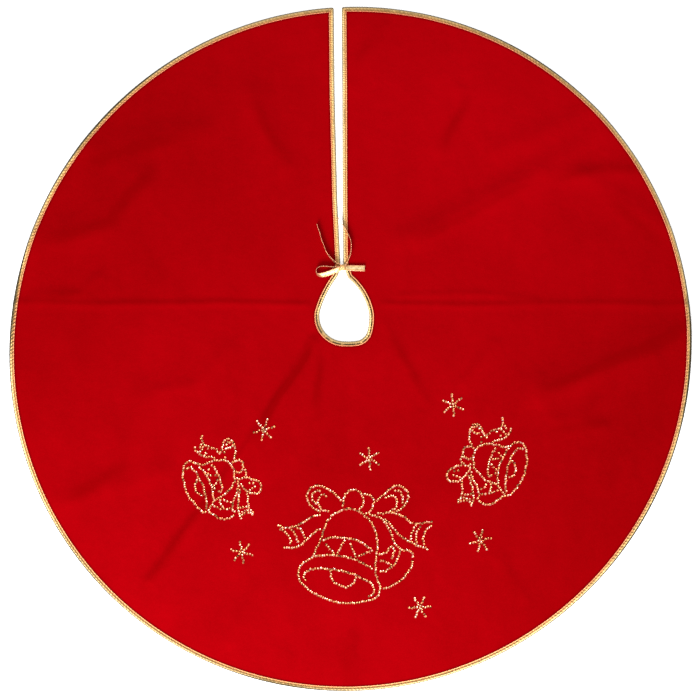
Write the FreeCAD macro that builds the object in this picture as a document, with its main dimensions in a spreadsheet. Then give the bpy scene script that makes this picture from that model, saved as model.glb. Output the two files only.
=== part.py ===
import FreeCAD, Part

import math
import os

import Sketcher
from FreeCAD import Placement, Rotation, Vector

# Tree skirt: an oval of velvet on a lining, bound all round with folded metallic tape, open down
# the back and tied at the neck with a flat bow. Bells and snowflakes are drawn in sewn sequins.
# Millimetres, +Z up. The origin is the middle of the hem on the surface it lies on. The slit
# runs out towards +Y, at the back, and the largest bells lie towards -Y, at the front.

SIZES = {
    # the hem is very nearly round: its long axis lies hem_turn degrees from +X
    "hem_long_radius": 614.8,
    "hem_short_radius": 605.2,
    "hem_turn": 50,
    # cloth layers, from the bottom up
    "tape_thickness": 0.4,
    "lining_thickness": 0.4,
    "backing_thickness": 0.2,
    "velvet_thickness": 1.2,
    "binding_width": 8.5,
    # neck opening
    "neck_x": -11,
    "neck_y": 58,
    "collar_radius": 44.5,
    # the collar's front right corner, and the two shallow sides that lead to it
    "corner_x": 8,
    "corner_y": 37,
    "corner_radius": 23,
    "front_side_radius": 150,
    "right_side_radius": 110,
    "shoulder_y": 65.7,
    "shoulder_left_radius": 190,
    "shoulder_right_radius": 105,
    # free edges of the slit, from the neck out past the hem
    "throat_left_x": -22,
    "throat_left_y": 131,
    "throat_right_x": -4.5,
    "throat_right_y": 127,
    "knot_left_x": -18,
    "knot_right_x": -12.8,
    "knot_y": 152,
    "waist_left_x": -23.5,
    "waist_right_x": -14,
    "waist_y": 265,
    "flare_left_x": -28.5,
    "flare_right_x": -14.5,
    "flare_y": 460,
    "tip_left_x": -30,
    "tip_right_x": -16,
    "tip_y": 640,
    # where the slit tapes meet the neck tape, and the middle of the gap there
    "slit_foot_y": 146,
    "slit_foot_x": -15.4,
    # tie ribbon and its bow
    "ribbon_width": 10,
    "ribbon_thickness": 0.5,
    "ribbon_lift": 0.3,
    "knot_length": 13,
    "knot_width": 11,
    "knot_height": 6.4,
    "knot_round": 2,
    "knot_x": -14.5,
    "bow_y": 145.2,
    "right_loop_reach": 33.5,
    "right_loop_height": 5.2,
    "right_loop_turn": -1.5,
    "loop_ribbon_height": 9,
    "tail_ribbon_height": 9.2,
    # sequins
    "sequin_diameter": 4,
    "sequin_hole": 1.1,
    "sequin_thickness": 0.2,
    "sequin_pitch": 4.15,
    "snowflake_span": 38,
    "snowflake_backing_radius": 23,
}

FINE_STEP = 0.4          # spacing of the points tried along a sequin line, mm

# Sequin lines of the front motif: a bell with a second bell behind it, under a bow.
# Each line is a smooth curve through its points, in mm from the motif's centre.
FRONT_MOTIF = {
    "front_bell": [
        [(-69, -23), (-60, -5), (-52, 11), (-47, 30), (-38, 47), (-26, 57), (-12, 63), (0, 65), (18, 58),
         (30, 48), (40, 36), (46, 21), (48, -5), (45, -47), (49, -62), (53, -76), (51, -87), (43, -95),
         (28, -100), (8, -103), (-12, -104), (-46, -95), (-79, -76), (-90, -63), (-93, -49), (-91, -39),
         (-86, -33), (-69, -23)],
        [(-80, -61), (-83, -55), (-79, -48), (-68, -43), (-36, -43), (-3, -49), (26, -62), (37, -69),
         (42, -78), (40, -87), (33, -92)],
        [(-35, -46), (-34, -57), (-28, -67), (-18, -73), (-7, -75), (2, -71), (8, -64), (10, -58)],
        [(-48, 9), (-24, 14), (5, 10), (20, 4), (38, -10)],
        [(-63, -20), (-30, -18), (5, -25), (38, -42)],
        [(-43, 1), (-28, -15)],
        [(-11, 8), (-23, -14)],
        [(0, 2), (10, -20)],
        [(36, -11), (15, -20)],
    ],
    "rear_bell": [
        [(35, 54), (45, 52), (55, 47), (68, 30), (80, 2), (88, -6), (98, -9), (108, -12), (111, -20)],
        [(111, -29), (109, -38), (103, -48), (85, -66), (60, -78)],
        [(88, -12), (85, -24), (79, -33), (70, -42), (54, -48)],
        [(54, -28), (63, -30), (73, -36)],
        [(52, -16), (62, -14), (68, -9), (73, -2), (77, -5), (77, -15), (75, -23)],
    ],
    "bow": [
        [(-13, 70), (-13, 78), (-10, 88), (-4, 96), (5, 99), (14, 96), (21, 89), (23, 79), (17, 63)],
        [(25, 91), (32, 91), (38, 87), (42, 79), (41, 71), (36, 62), (28, 57)],
        [(-14, 76), (-22, 86), (-45, 102), (-58, 106), (-70, 102), (-76, 93), (-77, 82), (-73, 73),
         (-65, 66), (-55, 60)],
        [(-55, 97), (-62, 96), (-68, 90), (-68, 82), (-62, 74)],
        [(-43, 87), (-51, 89), (-56, 83), (-58, 75), (-54, 67), (-49, 63), (-40, 61)],
        [(-55, 54), (-65, 53), (-75, 47), (-87, 39), (-97, 34), (-129, 35)],
        [(-125, 28), (-116, 22), (-108, 13), (-108, 3)],
        [(-118, -4), (-105, -5), (-94, -2), (-85, 3), (-65, 22), (-55, 28)],
        [(-94, 31), (-90, 29), (-85, 22), (-82, 14)],
        [(-104, 27), (-98, 18), (-94, 6)],
        [(46, 79), (63, 94), (74, 103), (86, 106), (97, 101), (103, 92), (103, 82), (98, 72), (83, 60)],
        [(80, 97), (88, 95), (93, 87), (93, 76)],
        [(64, 85), (74, 88), (80, 85), (83, 77), (80, 67), (71, 61)],
        [(50, 56), (62, 57), (78, 57), (88, 53), (98, 49), (104, 43), (113, 39), (130, 39), (145, 42)],
        [(61, 47), (78, 29), (96, 11), (108, 5), (120, -1), (138, -7)],
        [(143, 35), (136, 28), (131, 20), (130, 10), (132, 2)],
        [(116, 34), (111, 24), (107, 11)],
        [(125, 32), (119, 22), (117, 12), (118, 3)],
    ],
}

# The smaller pair of bells, as it lies on the right. The left one is its mirror image.
SIDE_MOTIF = {
    "front_bell": [
        [(49, 29), (42, 26), (32, 26), (10, 30), (-2, 29), (-10, 26), (-16, 20), (-20, 12), (-21, 2), (-20, -7)],
        [(-20, -11), (-15, -18), (-8, -25), (8, -37), (18, -40), (24, -45), (35, -58)],
        [(50, 30), (57, 34), (64, 33), (70, 28), (74, 18), (75, 5), (74, -8), (67, -31), (54, -51), (48, -58),
         (41, -61)],
        [(67, 22), (61, 23), (55, 19), (46, 3), (39, -18), (37, -30), (38, -54)],
        [(48, 0), (52, -5), (55, -12), (54, -20), (50, -26), (44, -29)],
        [(42, 22), (34, 10), (27, -5), (23, -22), (24, -40)],
        [(19, 22), (11, 8), (6, -10), (5, -19), (8, -28)],
        [(25, 15), (30, 5)],
        [(14, 3), (23, 4)],
        [(12, -6), (19, -16)],
        [(19, -21), (10, -27)],
    ],
    "rear_bell": [
        [(-27, -12), (-24, -25), (-20, -35), (-11, -52), (-10, -60), (-13, -67)],
        [(-10, -72), (-3, -76), (5, -78), (15, -75), (38, -61)],
        [(-8, -49), (-3, -47), (3, -42)],
        [(10, -41), (12, -48), (8, -54)],
        [(-5, -60), (3, -59), (12, -57), (22, -52)],
    ],
    "bow": [
        [(-20, 23), (-26, 26), (-35, 25), (-39, 18), (-38, 10), (-34, 5), (-27, 4), (-22, 8)],
        [(-41, 7), (-43, 1), (-39, -5), (-32, -8), (-25, -6)],
        [(-25, 30), (-27, 40), (-28, 50), (-25, 59), (-18, 66), (-11, 65), (-6, 58), (3, 42)],
        [(-23, 54), (-17, 50), (-10, 49)],
        [(-19, 60), (-14, 61), (-11, 57)],
        [(-7, 34), (-6, 42)],
        [(5, 46), (12, 53), (20, 56), (32, 77)],
        [(35, 73), (34, 66), (38, 58)],
        [(12, 32), (20, 37), (30, 40), (38, 44), (44, 50), (47, 57)],
        [(21, 53), (28, 46)],
        [(29, 58), (37, 49)],
        [(-43, -8), (-60, -14), (-66, -20), (-68, -28), (-64, -36), (-55, -37), (-47, -36), (-38, -28),
         (-32, -21), (-28, -12)],
        [(-47, -17), (-54, -18)],
        [(-56, -25), (-48, -29), (-40, -31)],
        [(-28, -26), (-23, -45), (-21, -55), (-21, -67), (-24, -79)],
        [(-40, -33), (-41, -42), (-40, -53), (-41, -62), (-47, -70)],
        [(-47, -75), (-40, -71), (-32, -71), (-25, -75)],
        [(-37, -59), (-30, -60), (-24, -58)],
        [(-39, -66), (-32, -67), (-25, -69)],
    ],
}

# Each snowflake: its centre, and the directions of its three crossing lines in degrees.
SNOWFLAKES = [
    (-154, -144, (74, 16, 130)),
    (34, -196, (36, 94, 152)),
    (183, -100, (96, 158, 40)),
    (-194, -363, (46, 166, 100)),
    (232, -342, (78, 14, 128)),
    (124, -461, (64, 2, 120)),
]

# Routes of the tie's free ribbon, seen from above, from the knot outwards.
TAIL_LEFT_ROUTE = [(-17, 147), (-29, 156), (-40, 167), (-47.5, 183), (-54, 203), (-60, 223)]
TAIL_RIGHT_ROUTE = [(-12, 147), (-4, 159), (1, 175), (1.5, 191), (-5, 207), (-14, 221), (-22.5, 235)]
LOOP_LEFT_ROUTE = [(-18, 146.2), (-36, 146.6), (-57, 148), (-62.5, 139), (-57, 131), (-42, 133), (-18, 143.5)]


def make_sheet(document):
    """The spreadsheet of driving dimensions, one aliased cell each."""
    sheet = document.addObject("Spreadsheet::Sheet", "Dimensions")
    for row, (name, value) in enumerate(SIZES.items(), 1):
        sheet.set("A%d" % row, name)
        sheet.set("B%d" % row, str(value))
        sheet.setAlias("B%d" % row, name)
    document.recompute()
    return sheet


doc = FreeCAD.newDocument("TreeSkirt")
dimensions = make_sheet(doc)


def size(name):
    """A driving dimension's value, read from the spreadsheet."""
    return float(getattr(dimensions, name))


# Heights of the stack, as spreadsheet expressions: lower tape, lining, backing, velvet, upper tape.
CELL = "Dimensions."
LINING_BOTTOM = CELL + "tape_thickness"
LINING_TOP = LINING_BOTTOM + " + " + CELL + "lining_thickness"
VELVET_BOTTOM = LINING_TOP + " + " + CELL + "backing_thickness"
VELVET_TOP = VELVET_BOTTOM + " + " + CELL + "velvet_thickness"
BINDING_TOP = VELVET_TOP + " + " + CELL + "tape_thickness"

VELVET_TOP_HEIGHT = (size("tape_thickness") + size("lining_thickness") + size("backing_thickness")
                     + size("velvet_thickness"))
BINDING_TOP_HEIGHT = VELVET_TOP_HEIGHT + size("tape_thickness")
RIBBON_BOTTOM = BINDING_TOP_HEIGHT + size("ribbon_lift")


def extrude(base, name, low, high):
    """A solid between two heights, both given as expressions, over a flat closed outline."""
    solid = doc.addObject("Part::Extrusion", name)
    solid.Base = base
    solid.DirMode = "Custom"
    solid.Dir = Vector(0, 0, 1)
    solid.Solid = True
    solid.setExpression("LengthFwd", "(%s) - (%s)" % (high, low))
    solid.setExpression("Placement.Base.z", low)
    return solid


def boolean(kind, name, base, tool):
    """A Part::Cut or Part::Common of two objects."""
    result = doc.addObject(kind, name)
    result.Base = base
    result.Tool = tool
    return result


def hem_oval(name, inset, low, high):
    """The whole oval of the skirt, drawn in from the hem's edge by the inset cell, if any."""
    oval = doc.addObject("Part::Ellipse", name + "_outline")
    oval.Placement = Placement(Vector(), Rotation(Vector(0, 0, 1), size("hem_turn")))
    less = " - " + CELL + inset if inset else ""
    oval.setExpression("MajorRadius", CELL + "hem_long_radius" + less)
    oval.setExpression("MinorRadius", CELL + "hem_short_radius" + less)
    oval.setExpression("Placement.Rotation.Angle", CELL + "hem_turn")
    return extrude(oval, name, low, high)


def unit(vector):
    """The vector at length one."""
    return vector / vector.Length


def mitre(first, second):
    """How far a corner moves when both edges at it move one unit along their unit normals."""
    return (first + second) / (1 + first.dot(second))


def hold(sketch, kind, where, name, shift=None):
    """A sketch constraint whose value is a cell, plus a share of another cell if shift is given."""
    value = size(name)
    expression = CELL + name
    if shift:
        share, cell = shift
        value += share * size(cell)
        expression += " + (%.5f) * %s%s" % (share, CELL, cell)
    number = sketch.addConstraint(Sketcher.Constraint(kind, *where, value))
    sketch.setExpression("Constraints[%d]" % number, expression)


def hold_point(sketch, geometry, end, names, move, grown):
    """Holds a point where two cells say, moved by move times the grown cell."""
    for kind, name, share in (("DistanceX", names[0], move.x), ("DistanceY", names[1], move.y)):
        hold(sketch, kind, (-1, 1, geometry, end), name, (share, grown) if grown else None)


def arc_of_radius(start, end, radius):
    """The shallow arc from start to end whose centre lies on the left of that way, and its centre."""
    chord = end - start
    middle = (start + end) / 2
    across = unit(Vector(-chord.y, chord.x, 0))
    drop = math.sqrt(radius ** 2 - (chord.Length / 2) ** 2)
    centre = middle + drop * across
    return Part.Arc(start, centre - radius * across, end), centre


def side_centre(first, first_radius, second, second_radius, radius, way):
    """Centre of the shallow arc that touches two circles from outside, on the left or right (way) of them."""
    reach, other = radius - first_radius, radius - second_radius
    apart = second - first
    along = (reach ** 2 - other ** 2 + apart.Length ** 2) / (2 * apart.Length)
    off = way * math.sqrt(reach ** 2 - along ** 2)
    apart.normalize()
    return first + along * apart + off * Vector(-apart.y, apart.x, 0)


def arc_end(sketch, arc, place):
    """Which end of an arc, 1 or 2, lies nearest to a place."""
    return min((1, 2), key=lambda end: (sketch.getPoint(arc, end) - place).Length)


def arc_about(centre, radius, start, end):
    """The arc from start to end that bulges away from its centre, at a radius."""
    middle = unit(unit(start - centre) + unit(end - centre))
    return Part.Arc(start, centre + radius * middle, end)


def collar_sides(neck, corner):
    """The two shallow sides of the collar: radius cell, centre, and where each meets the round parts."""
    sides = []
    for name, way in (("front_side_radius", 1), ("right_side_radius", -1)):
        centre = side_centre(neck, size("collar_radius"), corner, size("corner_radius"), size(name), way)
        sides.append((name, centre, unit(neck - centre), unit(corner - centre)))
    return sides


# Corners of the opening's free edge, from the right of the throat up round the slit's open end
# and down to the left of the throat, each with the two cells that place it.
OPENING_CORNERS = [
    ("throat_right_x", "throat_right_y"),
    ("knot_right_x", "knot_y"),
    ("waist_right_x", "waist_y"),
    ("flare_right_x", "flare_y"),
    ("tip_right_x", "tip_y"),
    ("tip_left_x", "tip_y"),
    ("flare_left_x", "flare_y"),
    ("waist_left_x", "waist_y"),
    ("knot_left_x", "knot_y"),
    ("throat_left_x", "throat_left_y"),
]


def opening_outline(name, grown=None):
    """Free edge of the cloth round the neck and up the slit, closed past the hem.

    With grown, a cell's name, every edge lies that much further into the cloth.
    """
    corners = [Vector(size(x), size(y), 0) for x, y in OPENING_CORNERS]
    neck = Vector(size("neck_x"), size("neck_y"), 0)
    radius = size("collar_radius")
    rise = math.asin((size("shoulder_y") - neck.y) / radius)
    out_left = Vector(-math.cos(rise), math.sin(rise), 0)
    out_right = Vector(math.cos(rise), math.sin(rise), 0)
    shoulder_left, shoulder_right = neck + radius * out_left, neck + radius * out_right
    _, left_centre = arc_of_radius(corners[-1], shoulder_left, size("shoulder_left_radius"))
    _, right_centre = arc_of_radius(shoulder_right, corners[0], size("shoulder_right_radius"))

    outward = [unit(corners[0] - right_centre)]
    for start, end in zip(corners, corners[1:]):
        outward.append(unit(Vector(end.y - start.y, start.x - end.x, 0)))
    outward.append(unit(corners[-1] - left_centre))
    moves = [mitre(first, second) for first, second in zip(outward, outward[1:])]
    move_left = mitre(out_left, unit(shoulder_left - left_centre))
    move_right = mitre(out_right, unit(shoulder_right - right_centre))

    step = size(grown) if grown else 0
    corners = [corner + step * move for corner, move in zip(corners, moves)]
    shoulder_left += step * move_left
    shoulder_right += step * move_right
    sketch = doc.addObject("Sketcher::SketchObject", name)
    for start, end in zip(corners, corners[1:]):
        sketch.addGeometry(Part.LineSegment(start, end))
    last = len(corners) - 2
    hold_point(sketch, 0, 1, OPENING_CORNERS[0], moves[0], grown)
    for line in range(last + 1):
        hold_point(sketch, line, 2, OPENING_CORNERS[line + 1], moves[line + 1], grown)
        if line:
            sketch.addConstraint(Sketcher.Constraint("Coincident", line - 1, 2, line, 1))

    wider = (1, grown) if grown else None
    corner = Vector(size("corner_x"), size("corner_y"), 0)
    round_parts = {"collar": (neck, radius), "corner": (corner, size("corner_radius"))}
    front, right = collar_sides(neck, corner)
    touch = {}
    for label, (_, _, to_neck, to_corner) in (("front", front), ("right", right)):
        touch[label, "collar"] = neck + (radius + step) * to_neck
        touch[label, "corner"] = corner + (size("corner_radius") + step) * to_corner
    chain = [("collar", shoulder_left, touch["front", "collar"]),
             ("corner", touch["front", "corner"], touch["right", "corner"]),
             ("collar", touch["right", "collar"], shoulder_right)]
    numbers = []
    for part, start, end in chain:
        centre, part_radius = round_parts[part]
        if start is shoulder_left:
            through = centre - Vector(math.cos(0.6), math.sin(0.6), 0) * (part_radius + step)
            arc = Part.Arc(start, through, end)
        else:
            arc = arc_about(centre, part_radius + step, start, end)
        number = sketch.addGeometry(arc)
        numbers.append(number)
        prefix = "neck" if part == "collar" else "corner"
        hold(sketch, "DistanceX", (-1, 1, number, 3), prefix + "_x")
        hold(sketch, "DistanceY", (-1, 1, number, 3), prefix + "_y")
        hold(sketch, "Radius", (number,), part + "_radius", wider)
    left, bend, short = numbers
    left_top = arc_end(sketch, left, shoulder_left)
    short_top = arc_end(sketch, short, shoulder_right)
    hold(sketch, "DistanceY", (-1, 1, left, left_top), "shoulder_y", (move_left.y, grown) if grown else None)
    hold(sketch, "DistanceY", (-1, 1, short, short_top), "shoulder_y", (move_right.y, grown) if grown else None)
    flats = [("front", front, left, "collar", bend, "corner"), ("right", right, bend, "corner", short, "collar")]
    for label, (name, centre, _, _), before, before_part, after, after_part in flats:
        start, end = touch[label, before_part], touch[label, after_part]
        flat = sketch.addGeometry(arc_about(centre, size(name) + step, start, end))
        hold(sketch, "Radius", (flat,), name, wider)
        for joint, place in ((before, start), (after, end)):
            ends = (flat, arc_end(sketch, flat, place), joint, arc_end(sketch, joint, place))
            sketch.addConstraint(Sketcher.Constraint("Tangent", *ends))
    sides = [("shoulder_left_radius", corners[-1], shoulder_left, (last, 2), (left, left_top)),
             ("shoulder_right_radius", shoulder_right, corners[0], (short, short_top), (0, 1))]
    for radius_name, start, end, start_joint, end_joint in sides:
        arc, _ = arc_of_radius(start, end, size(radius_name) + step)
        side = sketch.addGeometry(arc)
        hold(sketch, "Radius", (side,), radius_name, wider)
        for joint, place in ((start_joint, start), (end_joint, end)):
            sketch.addConstraint(Sketcher.Constraint("Coincident", side, arc_end(sketch, side, place), *joint))
    return sketch


def opening_prism(name, grown, low, high):
    """The neck and slit opening as a solid, its edges moved into the cloth by the grown cell."""
    return extrude(opening_outline(name + "_outline", grown), name, low, high)


def region_prism(name, points):
    """A tall straight-sided block over a polygon, used to part the binding into its lengths."""
    sketch = doc.addObject("Sketcher::SketchObject", name + "_outline")
    corners = [Vector(x, y, 0) for x, y in points]
    for number, corner in enumerate(corners):
        sketch.addGeometry(Part.LineSegment(corner, corners[(number + 1) % len(corners)]))
    for number in range(len(corners)):
        following = (number + 1) % len(corners)
        sketch.addConstraint(Sketcher.Constraint("Coincident", number, 2, following, 1))
    return extrude(sketch, name, "-1", BINDING_TOP + " + 1")


def cloth_layer(name, low, high):
    """One layer of the skirt's cloth, cut to sit inside the fold of the binding."""
    whole = hem_oval(name + "_blank", "tape_thickness", low, high)
    opening = opening_prism(name + "_opening", "tape_thickness", low + " - 1", high + " + 1")
    layer = boolean("Part::Cut", name, whole, opening)
    layer.Label = name
    return layer


def edge_tape():
    """All of the folded tape in one: an upper leg, a lower leg and the fold over the cloth's edge."""
    below = "-1"
    above = BINDING_TOP + " + 1"
    whole = boolean("Part::Cut", "tape_whole",
                    hem_oval("tape_blank", None, "0", BINDING_TOP),
                    opening_prism("tape_opening", None, below, above))
    hollow = boolean("Part::Cut", "tape_hollow",
                     hem_oval("hollow_blank", "tape_thickness", LINING_BOTTOM, VELVET_TOP),
                     opening_prism("hollow_opening", "tape_thickness", below, above))
    window = boolean("Part::Cut", "tape_window",
                     hem_oval("window_blank", "binding_width", below, above),
                     opening_prism("window_opening", "binding_width", below + " - 1", above + " + 1"))
    folded = boolean("Part::Cut", "tape_folded", whole, hollow)
    return boolean("Part::Cut", "edge_tape", folded, window)


def hem_height_at(x):
    """How far up the hem's edge lies over a given x, near the slit."""
    turn = math.radians(size("hem_turn"))
    long, short = size("hem_long_radius"), size("hem_short_radius")
    low, high = 0.0, long
    for _ in range(60):
        y = (low + high) / 2
        along = x * math.cos(turn) + y * math.sin(turn)
        across = y * math.cos(turn) - x * math.sin(turn)
        inside = (along / long) ** 2 + (across / short) ** 2 < 1
        low, high = (y, high) if inside else (low, y)
    return y


def slit_corner(side):
    """The point where the slit's free edge meets the hem."""
    flare = Vector(size("flare_%s_x" % side), size("flare_y"), 0)
    tip = Vector(size("tip_%s_x" % side), size("tip_y"), 0)
    near_hem = size("hem_short_radius")
    x = flare.x + (tip.x - flare.x) * (near_hem - flare.y) / (tip.y - flare.y)
    return x, hem_height_at(x)


def bindings():
    """The binding's four lengths: hem, two slit edges with mitred corners, and neck."""
    tape = edge_tape()
    into = 2.5 * size("binding_width")
    out = 6
    foot_x, foot_y = size("slit_foot_x"), size("slit_foot_y")
    regions = {}
    for side, way in (("left", -1), ("right", 1)):
        x, y = slit_corner(side)
        corner_cut = [(x - way * out, y + out), (x + way * into, y - into)]
        foot = [(x + way * into, foot_y), (foot_x, foot_y)]
        regions["slit_binding_" + side] = corner_cut + foot
    regions["neck_binding"] = [(-80, foot_y), (-80, -20), (60, -20), (60, foot_y)]
    pieces = {}
    blocks = []
    for name, points in regions.items():
        block = region_prism(name + "_region", points)
        blocks.append(block)
        pieces[name] = boolean("Part::Common", name, tape, block)
    rest = doc.addObject("Part::MultiFuse", "not_hem_region")
    rest.Shapes = blocks
    pieces["hem_binding"] = boolean("Part::Cut", "hem_binding", tape, rest)
    for name, piece in pieces.items():
        piece.Label = name
    return pieces


def backing(name, centre, long_radius, short_radius, turn):
    """An oval of stiff backing between lining and velvet, under one motif."""
    oval = doc.addObject("Part::Ellipse", name + "_outline")
    oval.MajorRadius = long_radius
    oval.MinorRadius = short_radius
    oval.Placement = Placement(Vector(centre[0], centre[1], 0), Rotation(Vector(0, 0, 1), turn))
    piece = extrude(oval, name, LINING_TOP, VELVET_BOTTOM)
    piece.Label = name
    return piece


def snowflake_backings():
    """Six small round backings, one under each snowflake."""
    rounds = []
    for number, (x, y, _) in enumerate(SNOWFLAKES, 1):
        disc = doc.addObject("Part::Cylinder", "snowflake_backing_%d" % number)
        disc.Placement.Base = Vector(x, y, 0)
        disc.setExpression("Radius", CELL + "snowflake_backing_radius")
        disc.setExpression("Height", CELL + "backing_thickness")
        disc.setExpression("Placement.Base.z", LINING_TOP)
        rounds.append(disc)
    group = doc.addObject("Part::Compound", "backing_snowflakes")
    group.Links = rounds
    group.Label = "backing_snowflakes"
    return group


def smooth_points(points):
    """Closely spaced points along the smooth curve through the given ones."""
    curve = Part.BSplineCurve()
    curve.interpolate(points)
    edge = curve.toShape()
    return edge.discretize(Number=max(2, int(edge.Length / FINE_STEP)))


def spread(run):
    """Sequin centres spaced evenly along one free stretch of a line."""
    length = (len(run) - 1) * FINE_STEP
    gaps = int(length / size("sequin_pitch"))
    if gaps == 0:
        return [run[len(run) // 2]]
    spots = [run[round(i * (len(run) - 1) / gaps)] for i in range(gaps + 1)]
    closed = (spots[0] - spots[-1]).Length < size("sequin_pitch")
    return spots[:-1] if closed else spots


def sequin_spots(lines, taken):
    """Sequin centres along some lines, none of them over a sequin that is already sewn."""
    spots = []
    for line in lines:
        run = []
        for point in smooth_points(line) + [None]:
            clear = point is not None and all((point - other).Length > size("sequin_pitch") for other in taken)
            if clear:
                run.append(point)
            elif run:
                fresh = spread(run)
                taken.extend(fresh)
                spots.extend(fresh)
                run = []
    return spots


def sequin_group(name, lines, taken):
    """One node of sequins, each a thin disc with a hole, sewn flat on the velvet."""
    radius = size("sequin_diameter") / 2
    thickness = size("sequin_thickness")
    disc = Part.makeCylinder(radius, thickness).cut(Part.makeCylinder(size("sequin_hole") / 2, thickness))
    height = Vector(0, 0, VELVET_TOP_HEIGHT)
    discs = [disc.translated(spot + height) for spot in sequin_spots(lines, taken)]
    group = doc.addObject("Part::Feature", name)
    group.Shape = Part.makeCompound(discs)
    group.Label = name
    print(name, len(discs), "sequins")
    return group


def motif_sequins(place_name, motif, place):
    """A motif's three nodes of sequins, set down on the skirt by the place function."""
    taken = []
    groups = []
    for part_name, lines in motif.items():
        placed = [[place(x, y) for x, y in line] for line in lines]
        groups.append(sequin_group("sequins_%s_%s" % (place_name, part_name), placed, taken))
    return groups


def placer(centre_x, centre_y, scale_x=1.0, scale_y=1.0, turn=0.0, mirrored=False):
    """A function that sets a motif's points down: scaled, turned, then mirrored if asked."""
    cosine, sine = math.cos(math.radians(turn)), math.sin(math.radians(turn))
    way = -1 if mirrored else 1

    def place(x, y):
        x, y = x * scale_x, y * scale_y
        return Vector(centre_x + way * (x * cosine - y * sine), centre_y + x * sine + y * cosine, 0)
    return place


def snowflake_sequins():
    """The six snowflakes, each three crossing lines of sequins."""
    reach = size("snowflake_span") / 2
    groups = []
    for number, (x, y, directions) in enumerate(SNOWFLAKES, 1):
        centre = Vector(x, y, 0)
        lines = []
        for direction in directions:
            angle = math.radians(direction)
            arm = reach * Vector(math.cos(angle), math.sin(angle), 0)
            lines.append([centre - arm, centre + arm])
        groups.append(sequin_group("sequins_snowflake_%d" % number, lines, []))
    return groups


def knot():
    """The bow's knot, a rounded block over the gap between the two neck corners."""
    body = doc.addObject("PartDesign::Body", "bow_knot")
    body.Label = "bow_knot"
    block = body.newObject("PartDesign::AdditiveBox", "knot_block")
    block.setExpression("Length", CELL + "knot_length")
    block.setExpression("Width", CELL + "knot_width")
    block.setExpression("Height", CELL + "knot_height")
    doc.recompute()
    rounded = body.newObject("PartDesign::Fillet", "knot_rounding")
    rounded.Base = (block, ["Face6"])
    rounded.setExpression("Radius", CELL + "knot_round")
    body.Tip = rounded
    corner = Vector(-size("knot_length") / 2, -size("knot_width") / 2, 0)
    body.Placement = Placement(Vector(size("knot_x"), size("bow_y"), BINDING_TOP_HEIGHT) + corner, Rotation())
    return body


def right_loop():
    """The right loop: ribbon folded back over itself and pressed nearly flat."""
    body = doc.addObject("PartDesign::Body", "bow_loop_right")
    body.Label = "bow_loop_right"
    plane = [f for f in body.Origin.OriginFeatures if f.Role == "XZ_Plane"][0]
    sketch = body.newObject("Sketcher::SketchObject", "right_loop_profile")
    sketch.AttachmentSupport = [(plane, "")]
    sketch.MapMode = "FlatFace"
    thick = size("ribbon_thickness")
    tall = size("right_loop_height")
    bend = tall / 2
    straight = size("right_loop_reach") - bend
    outer = [Vector(0, 0, 0), Vector(straight, 0, 0), Vector(straight, tall, 0), Vector(0, tall, 0)]
    inner = [Vector(0, thick, 0), Vector(straight, thick, 0), Vector(straight, tall - thick, 0),
             Vector(0, tall - thick, 0)]
    edges = [Part.LineSegment(outer[0], outer[1]),
             Part.Arc(outer[1], Vector(straight + bend, bend, 0), outer[2]),
             Part.LineSegment(outer[2], outer[3]),
             Part.LineSegment(outer[3], inner[3]),
             Part.LineSegment(inner[3], inner[2]),
             Part.Arc(inner[2], Vector(straight + bend - thick, bend, 0), inner[1]),
             Part.LineSegment(inner[1], inner[0]),
             Part.LineSegment(inner[0], outer[0])]
    for edge in edges:
        sketch.addGeometry(edge)
    pad = body.newObject("PartDesign::Pad", "right_loop_pad")
    pad.Profile = sketch
    pad.Midplane = True
    pad.setExpression("Length", CELL + "ribbon_width")
    body.Tip = pad
    start = Vector(size("knot_x") + size("knot_length") / 2, size("bow_y") - 0.5, RIBBON_BOTTOM)
    body.Placement = Placement(start, Rotation(Vector(0, 0, 1), size("right_loop_turn")))
    return body


def rounded_route(name, points):
    """A wire of straight runs joined by tangent arcs, each arc as large as its two runs allow."""
    corners = [Vector(x, y, 0) for x, y in points]
    edges = []
    radii = []
    here = corners[0]
    for before, corner, after in zip(corners, corners[1:], corners[2:]):
        into = corner - before
        away = after - corner
        half_turn = into.getAngle(away) / 2
        setback = 0.45 * min(into.Length, away.Length)
        radius = setback / math.tan(half_turn)
        into.normalize()
        away.normalize()
        start = corner - setback * into
        end = corner + setback * away
        bisector = (away - into).normalize()
        centre = corner + bisector * (radius / math.cos(half_turn))
        edges.append(Part.LineSegment(here, start).toShape())
        edges.append(Part.Arc(start, centre - radius * bisector, end).toShape())
        radii.append(round(radius, 1))
        here = end
    edges.append(Part.LineSegment(here, corners[-1]).toShape())
    wire = Part.Wire(edges)
    print(name, "length", round(wire.Length, 1), "arc radii", radii)
    return wire


def ribbon_on_edge(name, points, height):
    """A stretch of ribbon standing on its edge along a route, ending square against the knot."""
    wire = rounded_route(name, points)
    band = wire.makeOffset2D(size("ribbon_thickness"), 0, True, True)
    solid = band.extrude(Vector(0, 0, height))
    solid.translate(Vector(0, 0, RIBBON_BOTTOM))
    whole = doc.addObject("Part::Feature", name + "_whole")
    whole.Shape = solid
    expected = wire.Length * size("ribbon_thickness") * height
    print(name, "volume against section times length", round(solid.Volume / expected, 3))
    return whole


def bow():
    """The bow: knot, two loops and two tails."""
    centre = knot()
    pieces = {"bow_knot": centre, "bow_loop_right": right_loop()}
    stretches = {
        "bow_loop_left": (LOOP_LEFT_ROUTE, "loop_ribbon_height"),
        "tie_tail_left": (TAIL_LEFT_ROUTE, "tail_ribbon_height"),
        "tie_tail_right": (TAIL_RIGHT_ROUTE, "tail_ribbon_height"),
    }
    for name, (route, height) in stretches.items():
        whole = ribbon_on_edge(name, route, size(height))
        pieces[name] = boolean("Part::Cut", name, whole, centre)
        pieces[name].Label = name
    return pieces


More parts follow.
